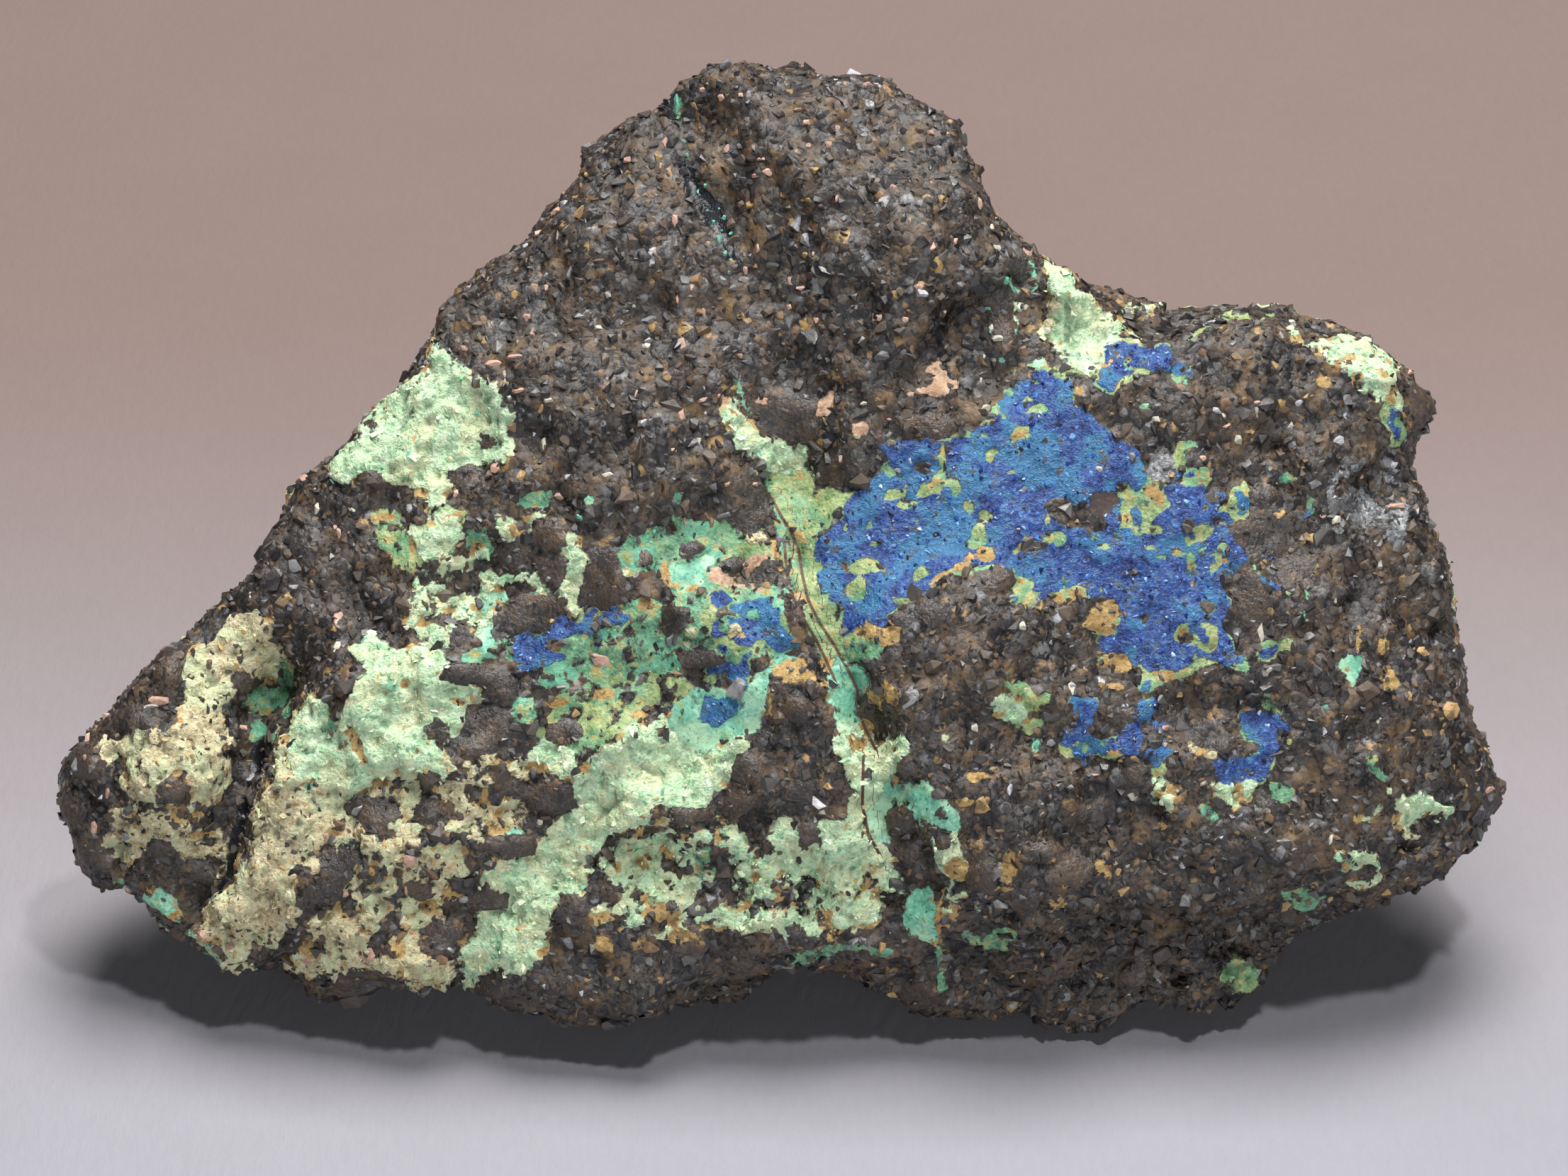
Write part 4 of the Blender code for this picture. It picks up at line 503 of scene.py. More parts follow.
# The overhang of the right foot, where the honeycomb hollows are.
UNDERCUT = (18.0, -27.6, 30.0, -27.2, 41.0, -28.0, 40.0, -33.0, 24.0, -34.0)


@dataclass(frozen=True)
class LumpShape:
    """How a big grain is cut: an uneven ring of straight sides, sloping flanks and a tilted top."""

    sides: int = 6
    stray: float = 0.35
    reach: tuple[float, float] = (0.75, 1.1)
    lean: float = 0.35
    edge: float = 1.1
    slope: float = 0.5
    rim: float = 0.2
    margin: float = 1.5
    seed: int = 29


LUMP = LumpShape()


def rows(numbers: Iterable[float], width: int) -> np.ndarray:
    """Cuts a flat list into rows of this width."""
    return np.array(tuple(numbers), float).reshape(-1, width)


def smooth_step(x: np.ndarray) -> np.ndarray:
    """0 below 0, 1 above 1, and an even turn between."""
    x = np.clip(x, 0.0, 1.0)
    return x * x * (3.0 - 2.0 * x)


def hashed(cells: np.ndarray, seed: int) -> np.ndarray:
    """A repeatable number from 0 to 1 for each whole-numbered cell."""
    mixed = cells[..., 0] * 73856093 ^ cells[..., 1] * 19349663 ^ cells[..., 2] * 83492791 ^ (seed * 40503 + 11)
    mixed = (mixed & 0x7FFFFFFF) * 1103515245 & 0x7FFFFFFF
    mixed = ((mixed >> 13) ^ mixed) * 69069 & 0x7FFFFFFF
    return ((mixed >> 7) ^ mixed & 0xFFFF) % 65521 / 65521.0


def soft_noise(points: np.ndarray, size: float, seed: int) -> np.ndarray:
    """Smooth noise from -1 to 1 with lumps of this size."""
    scaled = points / size + seed * 3.71
    base = np.floor(scaled).astype(np.int64)
    part = scaled - base
    part = part * part * (3.0 - 2.0 * part)
    total = np.zeros(len(points))
    for corner in itertools.product((0, 1), repeat=3):
        share = np.prod(np.where(corner, part, 1.0 - part), axis=1)
        total += share * hashed(base + np.array(corner), seed)
    return total * 2.0 - 1.0


def rough_noise(points: np.ndarray, size: float, seed: int, layers: int = 3) -> np.ndarray:
    """Layered noise from about -1 to 1, each layer half the size and half as strong."""
    total = np.zeros(len(points))
    for layer in range(layers):
        total += soft_noise(points, size / 2**layer, seed + layer * 7) / 2**layer
    return total / 1.5


def cell_pattern(points: np.ndarray, size: float, seed: int) -> tuple[np.ndarray, np.ndarray]:
    """Splits space into odd-shaped cells.

    Args:
        points: Places in millimetres.
        size: The cells' mean size.
        seed: Sets where they fall.

    Returns:
        How far each place is from its cell's middle, and how much further the next middle is, in sizes.
    """
    scaled = points / size
    base = np.floor(scaled).astype(np.int64)
    first = np.full(len(points), 9.0)
    second = np.full(len(points), 9.0)
    for step in itertools.product((-1, 0, 1), repeat=3):
        cell = base + np.array(step)
        middle = cell + np.stack([hashed(cell, seed + axis) for axis in range(3)], axis=1)
        distance = np.linalg.norm(scaled - middle, axis=1)
        nearer = distance < first
        second = np.where(nearer, first, np.minimum(second, distance))
        first = np.where(nearer, distance, first)
    return first, second - first


def line_distance(u: np.ndarray, v: np.ndarray, line: np.ndarray) -> np.ndarray:
    """How far each point is from a line of straight stretches."""
    nearest = np.full(u.shape, np.inf)
    for (u0, v0), (u1, v1) in zip(line, line[1:]):
        du, dv = u1 - u0, v1 - v0
        along = np.clip(((u - u0) * du + (v - v0) * dv) / (du * du + dv * dv), 0.0, 1.0)
        nearest = np.minimum(nearest, np.hypot(u - u0 - along * du, v - v0 - along * dv))
    return nearest


def side_distance(u: np.ndarray, v: np.ndarray, line: np.ndarray) -> np.ndarray:
    """Like line_distance, but below 0 on the line's left, so that it runs evenly across the line."""
    nearest = np.full(u.shape, np.inf)
    signed = np.full(u.shape, np.inf)
    for (u0, v0), (u1, v1) in zip(line, line[1:]):
        du, dv = u1 - u0, v1 - v0
        along = np.clip(((u - u0) * du + (v - v0) * dv) / (du * du + dv * dv), 0.0, 1.0)
        distance = np.hypot(u - u0 - along * du, v - v0 - along * dv)
        side = np.where((v - v0) * du - (u - u0) * dv > 0.0, -1.0, 1.0)
        signed = np.where(distance < nearest, side * distance, signed)
        nearest = np.minimum(nearest, distance)
    return signed


def inside_by(u: np.ndarray, v: np.ndarray, outline: np.ndarray) -> np.ndarray:
    """How far each point is inside a closed outline, and below 0 outside it."""
    ring = np.vstack([outline, outline[:1]])
    crossed = np.zeros(u.shape, bool)
    for (u0, v0), (u1, v1) in zip(ring, ring[1:]):
        spans = (v0 > v) != (v1 > v)
        rise = v1 - v0 if v1 != v0 else 1e-9
        crossed ^= spans & (u < (u1 - u0) * (v - v0) / rise + u0)
    distance = line_distance(u, v, ring)
    return np.where(crossed, distance, -distance)


def camera_place() -> np.ndarray:
    """Where the lens is, in millimetres."""
    return FACE_CENTRE + CAMERA_REACH * OUT


def on_face(points: np.ndarray) -> tuple[np.ndarray, np.ndarray]:
    """Where the camera sees each point on the broad face's plane.

    Args:
        points: Places in millimetres.

    Returns:
        Millimetres right of and above the middle of the face.
    """
    away = points - FACE_CENTRE
    growth = CAMERA_REACH / (CAMERA_REACH - away @ OUT)
    return away @ RIGHT * growth, away @ UP * growth


def facing(points: np.ndarray, normals: np.ndarray) -> np.ndarray:
    """How squarely each point faces the camera, from -1 to 1."""
    sight = camera_place() - points
    sight /= np.linalg.norm(sight, axis=1, keepdims=True)
    return (sight * normals).sum(axis=1)


def big_lumps(points: np.ndarray, normals: np.ndarray) -> tuple[np.ndarray, np.ndarray]:
    """Finds the big smooth grains and the pits of the broad face.

    Args:
        points: Places in millimetres.
        normals: The way that the surface faces there.

    Returns:
        How much of each point belongs to a big grain, from 0 to 1, and how far it rises in millimetres.
    """
    u, v = on_face(points)
    share, rise = np.zeros(len(points)), np.zeros(len(points))
    ragged = 0.12 * soft_noise(points, 1.1, 97) + 0.06 * soft_noise(points, 0.5, 99)
    draw = np.random.default_rng(LUMP.seed)
    for right, up, wide, high, height in rows(BIG_LUMPS, 5):
        strays = draw.uniform(-LUMP.stray, LUMP.stray, LUMP.sides)
        ways = (np.arange(LUMP.sides) + strays) * 2.0 * math.pi / LUMP.sides
        sides = draw.uniform(*LUMP.reach, LUMP.sides)
        near = np.nonzero((np.abs(u - right) < LUMP.margin * wide) & (np.abs(v - up) < LUMP.margin * high))[0]
        across, along = (u[near] - right) / wide, (v[near] - up) / high
        reach = (np.outer(across, np.cos(ways)) + np.outer(along, np.sin(ways))) / sides
        reach = reach.max(axis=1) + ragged[near]
        lean = 1.0 + LUMP.lean * (across * np.cos(ways[0]) + along * np.sin(ways[0]))
        dome = np.clip((LUMP.edge - reach) / LUMP.slope, 0.0, 1.0) * lean
        rise[near] = np.where(np.abs(height * dome) > np.abs(rise[near]), height * dome, rise[near])
        if height > 0.0:
            share[near] = np.maximum(share[near], smooth_step((LUMP.edge - reach) / LUMP.rim))
    front = smooth_step(facing(points, normals) / 0.2)
    return share * front, rise * front


@dataclass(frozen=True)
class BackGrowth:
    """How a mineral is spread over the sides, back and underside, where no patch is drawn.

    Rare goes from -1 to 1, and hold and ragged are as in Patch.
    """

    size: float
    rare: float
    hold: float
    ragged: float
    seed: int


@dataclass(frozen=True)
class MineralMap:
    """Says how far inside each mineral's coat a point is."""

    patches: Sequence[Patch] = PATCHES
    streaks: Sequence[Streak] = STREAKS
    margin: float = 1.6
    edge_size: float = 1.5
    grit_size: float = 0.5
    grit: float = 0.22
    overlap: float = 0.16
    crust_spread: float = 0.35
    window_edge: float = 0.74
    window_rust: float = 1.05
    window_slope: float = 1.4
    window_hold: float = 0.3
    rim: float = -0.1
    rim_ragged: float = 1.35
    rust: float = -0.10
    rust_ragged: float = 0.62
    back: dict[Mineral, BackGrowth] = field(default_factory=lambda: {
        Mineral.MALACHITE: BackGrowth(11.0, 0.34, 0.25, 0.7, 31),
        Mineral.MINT: BackGrowth(15.0, 0.42, 0.35, 0.9, 47),
        Mineral.CREAM: BackGrowth(12.0, 0.46, 0.2, 0.9, 59),
        Mineral.AZURITE: BackGrowth(12.0, 0.52, 0.35, 0.6, 71),
        Mineral.OCHRE: BackGrowth(4.0, 0.50, 0.1, 0.8, 83),
    })

    def covers(self, points: np.ndarray, normals: np.ndarray) -> dict[Mineral, np.ndarray]:
        """Works out every coat at these points.

        Args:
            points: Places in millimetres.
            normals: The way that the surface faces there.

        Returns:
            For each mineral, millimetres inside its coat, and below 0 outside it.
        """
        u, v = on_face(points)
        turned = facing(points, normals)
        ragged = soft_noise(points, self.edge_size, 3) + 0.6 * soft_noise(points, self.edge_size / 2.1, 5)
        ragged += 0.35 * soft_noise(points, self.edge_size / 4.3, 7)
        grit = self.grit * soft_noise(points, self.grit_size, 9)
        found = {mineral: np.full(len(points), NOT_THERE) for mineral in Mineral}
        for patch in self.patches:
            outline = rows(patch.outline, 2)
            near = self._near(u, v, outline, self.margin)
            inside = inside_by(u[near], v[near], outline) + patch.ragged * ragged[near]
            if patch.mineral in (Mineral.MINT, Mineral.CREAM):
                inside += self.crust_spread
            self._lay(found[patch.mineral], near, np.minimum(inside, patch.hold + patch.ragged * ragged[near]))
        for streak in self.streaks:
            line = rows(streak.line, 2)
            near = self._near(u, v, line, self.margin)
            inside = streak.half_width - line_distance(u[near], v[near], line)
            self._lay(found[streak.mineral], near, inside + streak.ragged * ragged[near])
        for mineral, spots in SPECKS.items():
            for right, up, wide, high in rows(spots, 4):
                near = np.nonzero((np.abs(u - right) < wide + 1.0) & (np.abs(v - up) < high + 1.0))[0]
                reach = np.hypot((u[near] - right) / wide, (v[near] - up) / high)
                size = math.sqrt(wide * high)
                inside = (1.0 - reach) * size + 0.8 * size * ragged[near]
                self._lay(found[mineral], near, inside)
                self._uncover(found, mineral, near, inside)
        self._halo(found, points)
        self._islands(found, points)
        for right, up, wide, high in rows(BARE_SPOTS, 4):
            near = np.nonzero((np.abs(u - right) < wide + 1.0) & (np.abs(v - up) < high + 1.0))[0]
            inside = 1.0 - np.hypot((u[near] - right) / wide, (v[near] - up) / high)
            inside = inside * math.sqrt(wide * high) + 0.25 * ragged[near]
            for mineral in (Mineral.LIME, Mineral.AZURITE):
                found[mineral][near] = np.minimum(found[mineral][near], -inside)
        bare, _ = big_lumps(points, normals)
        limit = np.where(bare > 0.02, 0.35 - 0.7 * bare + 0.2 * ragged, -NOT_THERE)
        for mineral in Mineral:
            found[mineral] = np.minimum(found[mineral], limit)
        behind = smooth_step((0.12 - turned) / 0.2)
        for mineral in Mineral:
            front = np.minimum(found[mineral] + grit, (turned + 0.02) * 8.0)
            if mineral in self.back:
                way = self.back[mineral]
                spread = (rough_noise(points, way.size, way.seed) - way.rare) * way.size * 0.5
                spread = np.minimum(spread, way.hold) + way.ragged * ragged + grit
                front = np.maximum(front, spread - (1.0 - behind) * 3.0)
            found[mineral] = np.clip(front, NOT_THERE, -NOT_THERE)
        return found

    @staticmethod
    def _near(u: np.ndarray, v: np.ndarray, corners: np.ndarray, margin: float) -> np.ndarray:
        """The points within a margin of the corners' box."""
        low, high = corners.min(axis=0) - margin, corners.max(axis=0) + margin
        return np.nonzero((u > low[0]) & (u < high[0]) & (v > low[1]) & (v < high[1]))[0]

    @staticmethod
    def _lay(cover: np.ndarray, near: np.ndarray, inside: np.ndarray) -> None:
        """Keeps the greater of what is there and what a patch adds."""
        cover[near] = np.maximum(cover[near], inside)

    def _uncover(
        self, found: dict[Mineral, np.ndarray], mineral: Mineral, near: np.ndarray, inside: np.ndarray
    ) -> None:
        """Opens the coats above a speck, so that it shows."""
        order = list(Mineral)
        for above in order[order.index(mineral) + 1 :]:
            found[above][near] = np.minimum(found[above][near], self.overlap - inside)

    def _halo(self, found: dict[Mineral, np.ndarray], points: np.ndarray) -> None:
        """Puts the yellow-green rim round the blue, and rusty blots along the edges of the pale coats."""
        rim = found[Mineral.AZURITE] + self.rim + self.rim_ragged * soft_noise(points, 1.3, 61)
        rim = np.minimum(rim + 0.3 * soft_noise(points, 0.5, 63), 0.7)
        found[Mineral.LIME] = np.maximum(found[Mineral.LIME], rim)
        pale = np.max([found[mineral] for mineral in (Mineral.MINT, Mineral.CREAM, Mineral.TEAL)], axis=0)
        blot = self.rust - np.abs(pale - 0.05) + self.rust_ragged * soft_noise(points, 1.0, 65)
        blot = np.minimum(blot + 0.2 * soft_noise(points, 0.45, 67), 0.4)
        found[Mineral.OCHRE] = np.maximum(found[Mineral.OCHRE], blot)

    def _islands(self, found: dict[Mineral, np.ndarray], points: np.ndarray) -> None:
        """Opens small branching windows in the blue, with a little rust in their middles."""
        window = soft_noise(points, 2.1, 101) + 0.6 * soft_noise(points, 0.9, 103)
        window += 0.35 * soft_noise(points, 0.45, 105) + 0.5 * soft_noise(points, 7.0, 107)
        blue = found[Mineral.AZURITE].copy()
        found[Mineral.AZURITE] = np.minimum(blue, (self.window_edge - window) * self.window_slope)
        rust = np.minimum((window - self.window_rust) * self.window_slope, self.window_hold)
        found[Mineral.OCHRE] = np.where(blue > 0.0, np.maximum(found[Mineral.OCHRE], rust), found[Mineral.OCHRE])

    @staticmethod
    def top_mineral(covers: dict[Mineral, np.ndarray], least: float = 0.0) -> np.ndarray:
        """The place in Mineral's order of the coat on top at each point, and -1 where the stone is bare."""
        top = np.full(len(next(iter(covers.values()))), -1)
        for place, mineral in enumerate(Mineral):
            top = np.where(covers[mineral] > least, place, top)
        return top


@dataclass(frozen=True)
class Coat:
    """How a mineral's coat stands on the stone, in millimetres, and how much of the stone's roughness it keeps."""

    thickness: float
    lumps: float
    lump_size: float
    keeps: float


COATS = {
    Mineral.MALACHITE: Coat(0.10, 0.10, 0.7, 0.5),
    Mineral.LIME: Coat(0.10, 0.10, 0.6, 0.5),
    Mineral.TEAL: Coat(0.14, 0.10, 0.8, 0.45),
    Mineral.MINT: Coat(0.16, 0.34, 0.8, 0.9),
    Mineral.CREAM: Coat(0.12, 0.36, 0.75, 0.95),
    Mineral.AZURITE: Coat(0.12, 0.10, 0.5, 0.35),
    Mineral.OCHRE: Coat(0.06, 0.14, 0.5, 0.8),
    Mineral.TAN: Coat(0.16, 0.10, 0.9, 0.5),
    Mineral.UMBER: Coat(0.05, 0.04, 1.2, 0.15),
    # The painted crevice shade lies a little below the stone.
    Mineral.PAINTED_CREVICE_SHADE: Coat(-0.25, 0.06, 0.9, 0.5),
    Mineral.SILVER: Coat(0.10, 0.22, 0.5, 0.7),
}


def shade_arrays(mesh: bpy.types.Mesh) -> tuple[np.ndarray, np.ndarray]:
    """Reads a mesh.

    Args:
        mesh: In metres.

    Returns:
        Its points in millimetres and its point normals.
    """
    points = np.empty(len(mesh.vertices) * 3, np.float32)
    normals = np.empty(len(mesh.vertices) * 3, np.float32)
    mesh.vertices.foreach_get("co", points)
    mesh.vertices.foreach_get("normal", normals)
    return points.reshape(-1, 3).astype(float) / MM, normals.reshape(-1, 3).astype(float)


def put_points(mesh: bpy.types.Mesh, points: np.ndarray) -> None:
    """Writes points in millimetres back to a mesh."""
    mesh.vertices.foreach_set("co", (points * MM).astype(np.float32).ravel())
    mesh.update()


def add_attribute(mesh: bpy.types.Mesh, name: str, values: np.ndarray) -> None:
    """Keeps one number, or one colour, for each point of a mesh."""
    if values.ndim == 1:
        layer = mesh.attributes.new(name, "FLOAT", "POINT")
        layer.data.foreach_set("value", values.astype(np.float32))
        return
    layer = mesh.attributes.new(name, "FLOAT_COLOR", "POINT")
    coloured = np.concatenate([values, np.ones((len(values), 1))], axis=1)
    layer.data.foreach_set("color", coloured.astype(np.float32).ravel())


def triangle_count(mesh: bpy.types.Mesh) -> int:
    """How many triangles a mesh makes."""
    mesh.calc_loop_triangles()
    return len(mesh.loop_triangles)


@dataclass
class StoneBody:
    """The stone itself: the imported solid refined, roughened and coated."""

    box: tuple[np.ndarray, np.ndarray]
    minerals: MineralMap
    voxel: float = 0.69
    rub: int = 2
    inset: float = 0.3
    lump_sizes: tuple[float, ...] = (3.6, 1.7)
    lump_heights: tuple[float, ...] = (0.5, 0.36)
    fine_margin: float = -0.45
    crack_depth: float = 0.22
    crack_half_width: float = 0.13
    comb_size: float = 2.2
    comb_depth: float = 1.7
    lump_smoothing: float = 0.5
    lump_rise: float = 0.75
    coat_edge: float = 0.22

    def build(self) -> bpy.types.Object:
        """Makes the piece.

        Returns:
            The stone, with its mesh in place and a signed distance for each coat.
        """
        mesh = self._remeshed()
        self._refine_coats(mesh)
        points, normals = shade_arrays(mesh)
        covers = self.minerals.covers(points, normals)
        points = self._with_relief(points, normals, covers)
        put_points(mesh, self.kept_inside(points))
        points, normals = shade_arrays(mesh)
        for mineral, cover in covers.items():
            add_attribute(mesh, mineral.value, cover)
        u, v = on_face(points)
        crack = np.full(len(points), 1.0)
        for line in CRACKS:
            signed = np.clip(side_distance(u, v, rows(line, 2)), -1.0, 1.0)
            crack = np.where(np.abs(signed) < np.abs(crack), signed, crack)
        add_attribute(mesh, "crack", np.where(facing(points, normals) > 0.1, crack, 1.0))
        # How deep each point lies in a hollow, for the painted shade that the finish puts there.
        add_attribute(mesh, "hollow", hollow_share(points, normals, mesh))
        add_attribute(mesh, "big_grain", big_lumps(points, normals)[0])
        stone = bpy.data.objects.new("stone_body", mesh)
        bpy.context.scene.collection.objects.link(stone)
        for face in mesh.polygons:
            face.use_smooth = True
        return stone

    def kept_inside(self, points: np.ndarray) -> np.ndarray:
        """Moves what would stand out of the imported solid's box back onto it."""
        return np.clip(points, self.box[0], self.box[1])

    def _remeshed(self) -> bpy.types.Mesh:
        """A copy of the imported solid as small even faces, its hard edges rubbed down a little."""
        source = bmesh.new()
        source.from_mesh(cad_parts[NODE].data)
        bmesh.ops.remove_doubles(source, verts=source.verts, dist=1e-6)
        welded = bpy.data.meshes.new("stone_welded")
        source.to_mesh(welded)
        source.free()
        holder = bpy.data.objects.new("stone_holder", welded)
        bpy.context.scene.collection.objects.link(holder)
        remesh = holder.modifiers.new("even", "REMESH")
        remesh.mode = "VOXEL"
        remesh.voxel_size = self.voxel * MM
        graph = bpy.context.evaluated_depsgraph_get()
        mesh = bpy.data.meshes.new_from_object(holder.evaluated_get(graph), depsgraph=graph)
        bpy.data.objects.remove(holder)
        bpy.data.meshes.remove(welded)
        mesh.name = "stone_body"
        work = bmesh.new()
        work.from_mesh(mesh)
        for _ in range(self.rub):
            bmesh.ops.smooth_vert(
                work, verts=work.verts, factor=0.5, use_axis_x=True, use_axis_y=True, use_axis_z=True
            )
        work.to_mesh(mesh)
        work.free()
        return mesh

    def _refine_coats(self, mesh: bpy.types.Mesh) -> None:
        """Halves the faces where a coat lies on the broad face, so that its edge and crumbs have room."""
        points, normals = shade_arrays(mesh)
        covers = self.minerals.covers(points, normals)
        coated = np.max([covers[mineral] for mineral in Mineral], axis=0)
        wanted = (coated > self.fine_margin) & (facing(points, normals) > 0.05)
        work = bmesh.new()
        work.from_mesh(mesh)
        work.verts.ensure_lookup_table()
        edges = [edge for edge in work.edges if wanted[edge.verts[0].index] and wanted[edge.verts[1].index]]
        bmesh.ops.subdivide_edges(work, edges=edges, cuts=1, use_grid_fill=True, smooth=0.0)
        bmesh.ops.triangulate(work, faces=[face for face in work.faces if len(face.verts) > 4])
        work.to_mesh(mesh)
        work.free()

    def _with_relief(
        self, points: np.ndarray, normals: np.ndarray, covers: dict[Mineral, np.ndarray]
    ) -> np.ndarray:
        """Stands the stone's lumps, the honeycomb and the coats on the smooth surface.

        Args:
            points: In millimetres.
            normals: At the points.
            covers: How far inside each coat each point is.

        Returns:
            The moved points.
        """
        bare = -self.inset * np.ones(len(points))
        for place, (size, height) in enumerate(zip(self.lump_sizes, self.lump_heights)):
            first, _ = cell_pattern(points + 0.4 * size * np.stack(
                [soft_noise(points, size, 21 + axis) for axis in range(3)], axis=1), size, 13 + place * 5)
            bare += height * (0.9 - 1.6 * first)
        u, v = on_face(points)
        under = smooth_step((inside_by(u, v, rows(UNDERCUT, 2)) + 1.0) / 1.5) * (facing(points, normals) > -0.2)
        under = np.maximum(under, smooth_step((-normals[:, 2] - 0.35) / 0.3) * (points[:, 2] > 1.2))
        first, gap = cell_pattern(points * np.array((1.0, 1.0, 1.5)), self.comb_size, 77)
        bare += under * self.comb_depth * (0.35 - smooth_step(gap / 0.55))
        smooth, rise = big_lumps(points, normals)
        bare = bare * (1.0 - self.lump_smoothing * smooth) + self.lump_rise * rise
        height = bare
        for mineral, coat in COATS.items():
            share = smooth_step(covers[mineral] / self.coat_edge)
            lumps = soft_noise(points, coat.lump_size, 41) + 0.5 * soft_noise(points, coat.lump_size / 2.0, 43)
            if mineral in (Mineral.MINT, Mineral.CREAM):
                lumps = 0.6 - 1.5 * np.abs(soft_noise(points * np.array((1.0, 1.0, 0.45)), coat.lump_size, 45))
                lumps += 0.5 * soft_noise(points, coat.lump_size / 2.2, 47)
            stand = coat.keeps * bare + (1.0 - coat.keeps) * (-self.inset) + coat.thickness + coat.lumps * lumps
            height = height * (1.0 - share) + stand * share
        for line in CRACKS:
            near = np.exp(-((line_distance(u, v, rows(line, 2)) / (2.0 * self.crack_half_width)) ** 2))
            height = height - self.crack_depth * near * (facing(points, normals) > 0.1)
        resting = smooth_step((points[:, 2] - 0.05) / 0.5)
        return points + normals * (height * resting)[:, None]


def hollow_share(points: np.ndarray, normals: np.ndarray, mesh: bpy.types.Mesh) -> np.ndarray:
    """How deep in a hollow each point sits, from 0 to 1, from how its neighbours lie above it."""
    ends = np.empty(len(mesh.edges) * 2, np.int32)
    mesh.edges.foreach_get("vertices", ends)
    ends = ends.reshape(-1, 2)
    counts = np.bincount(ends.ravel(), minlength=len(points)).astype(float)
    level = points.copy()
    for _ in range(6):
        total = np.zeros_like(level)
        for axis in range(3):
            total[:, axis] = np.bincount(ends[:, 0], weights=level[ends[:, 1], axis], minlength=len(points))
            total[:, axis] += np.bincount(ends[:, 1], weights=level[ends[:, 0], axis], minlength=len(points))
        level = total / np.maximum(counts, 1.0)[:, None]
    below = ((level - points) * normals).sum(axis=1)
    return np.clip(0.5 + below / 0.5, 0.0, 1.0)


@dataclass(frozen=True)
class ShapeBank:
    """Makes the few grain shapes that thousands of grains share."""

    seed: int = 5
    angular: int = 18
    corners: int = 10

    def angular_shapes(self) -> list[tuple[np.ndarray, np.ndarray]]:
        """Broken grains: the hull of a few points near a ball."""
        draw = np.random.default_rng(self.seed)
        shapes = []
        for _ in range(self.angular):
            work = bmesh.new()
            for spot in draw.normal(size=(self.corners, 3)):
                spot = spot / np.linalg.norm(spot) * draw.uniform(0.82, 1.12)
                bmesh.ops.create_vert(work, co=Vector(spot))
            bmesh.ops.convex_hull(work, input=work.verts, use_existing_faces=False)
            shapes.append(self._arrays(work))
        return shapes

    @staticmethod
    def _arrays(work: bmesh.types.BMesh) -> tuple[np.ndarray, np.ndarray]:
        """Reads and frees a finished shape: its points and its triangles."""
        bmesh.ops.triangulate(work, faces=work.faces)
        bmesh.ops.recalc_face_normals(work, faces=work.faces)
        work.verts.index_update()
        points = np.array([vert.co for vert in work.verts], float)
        faces = np.array([[vert.index for vert in face.verts] for face in work.faces], np.int64)
        work.free()
        return points, faces


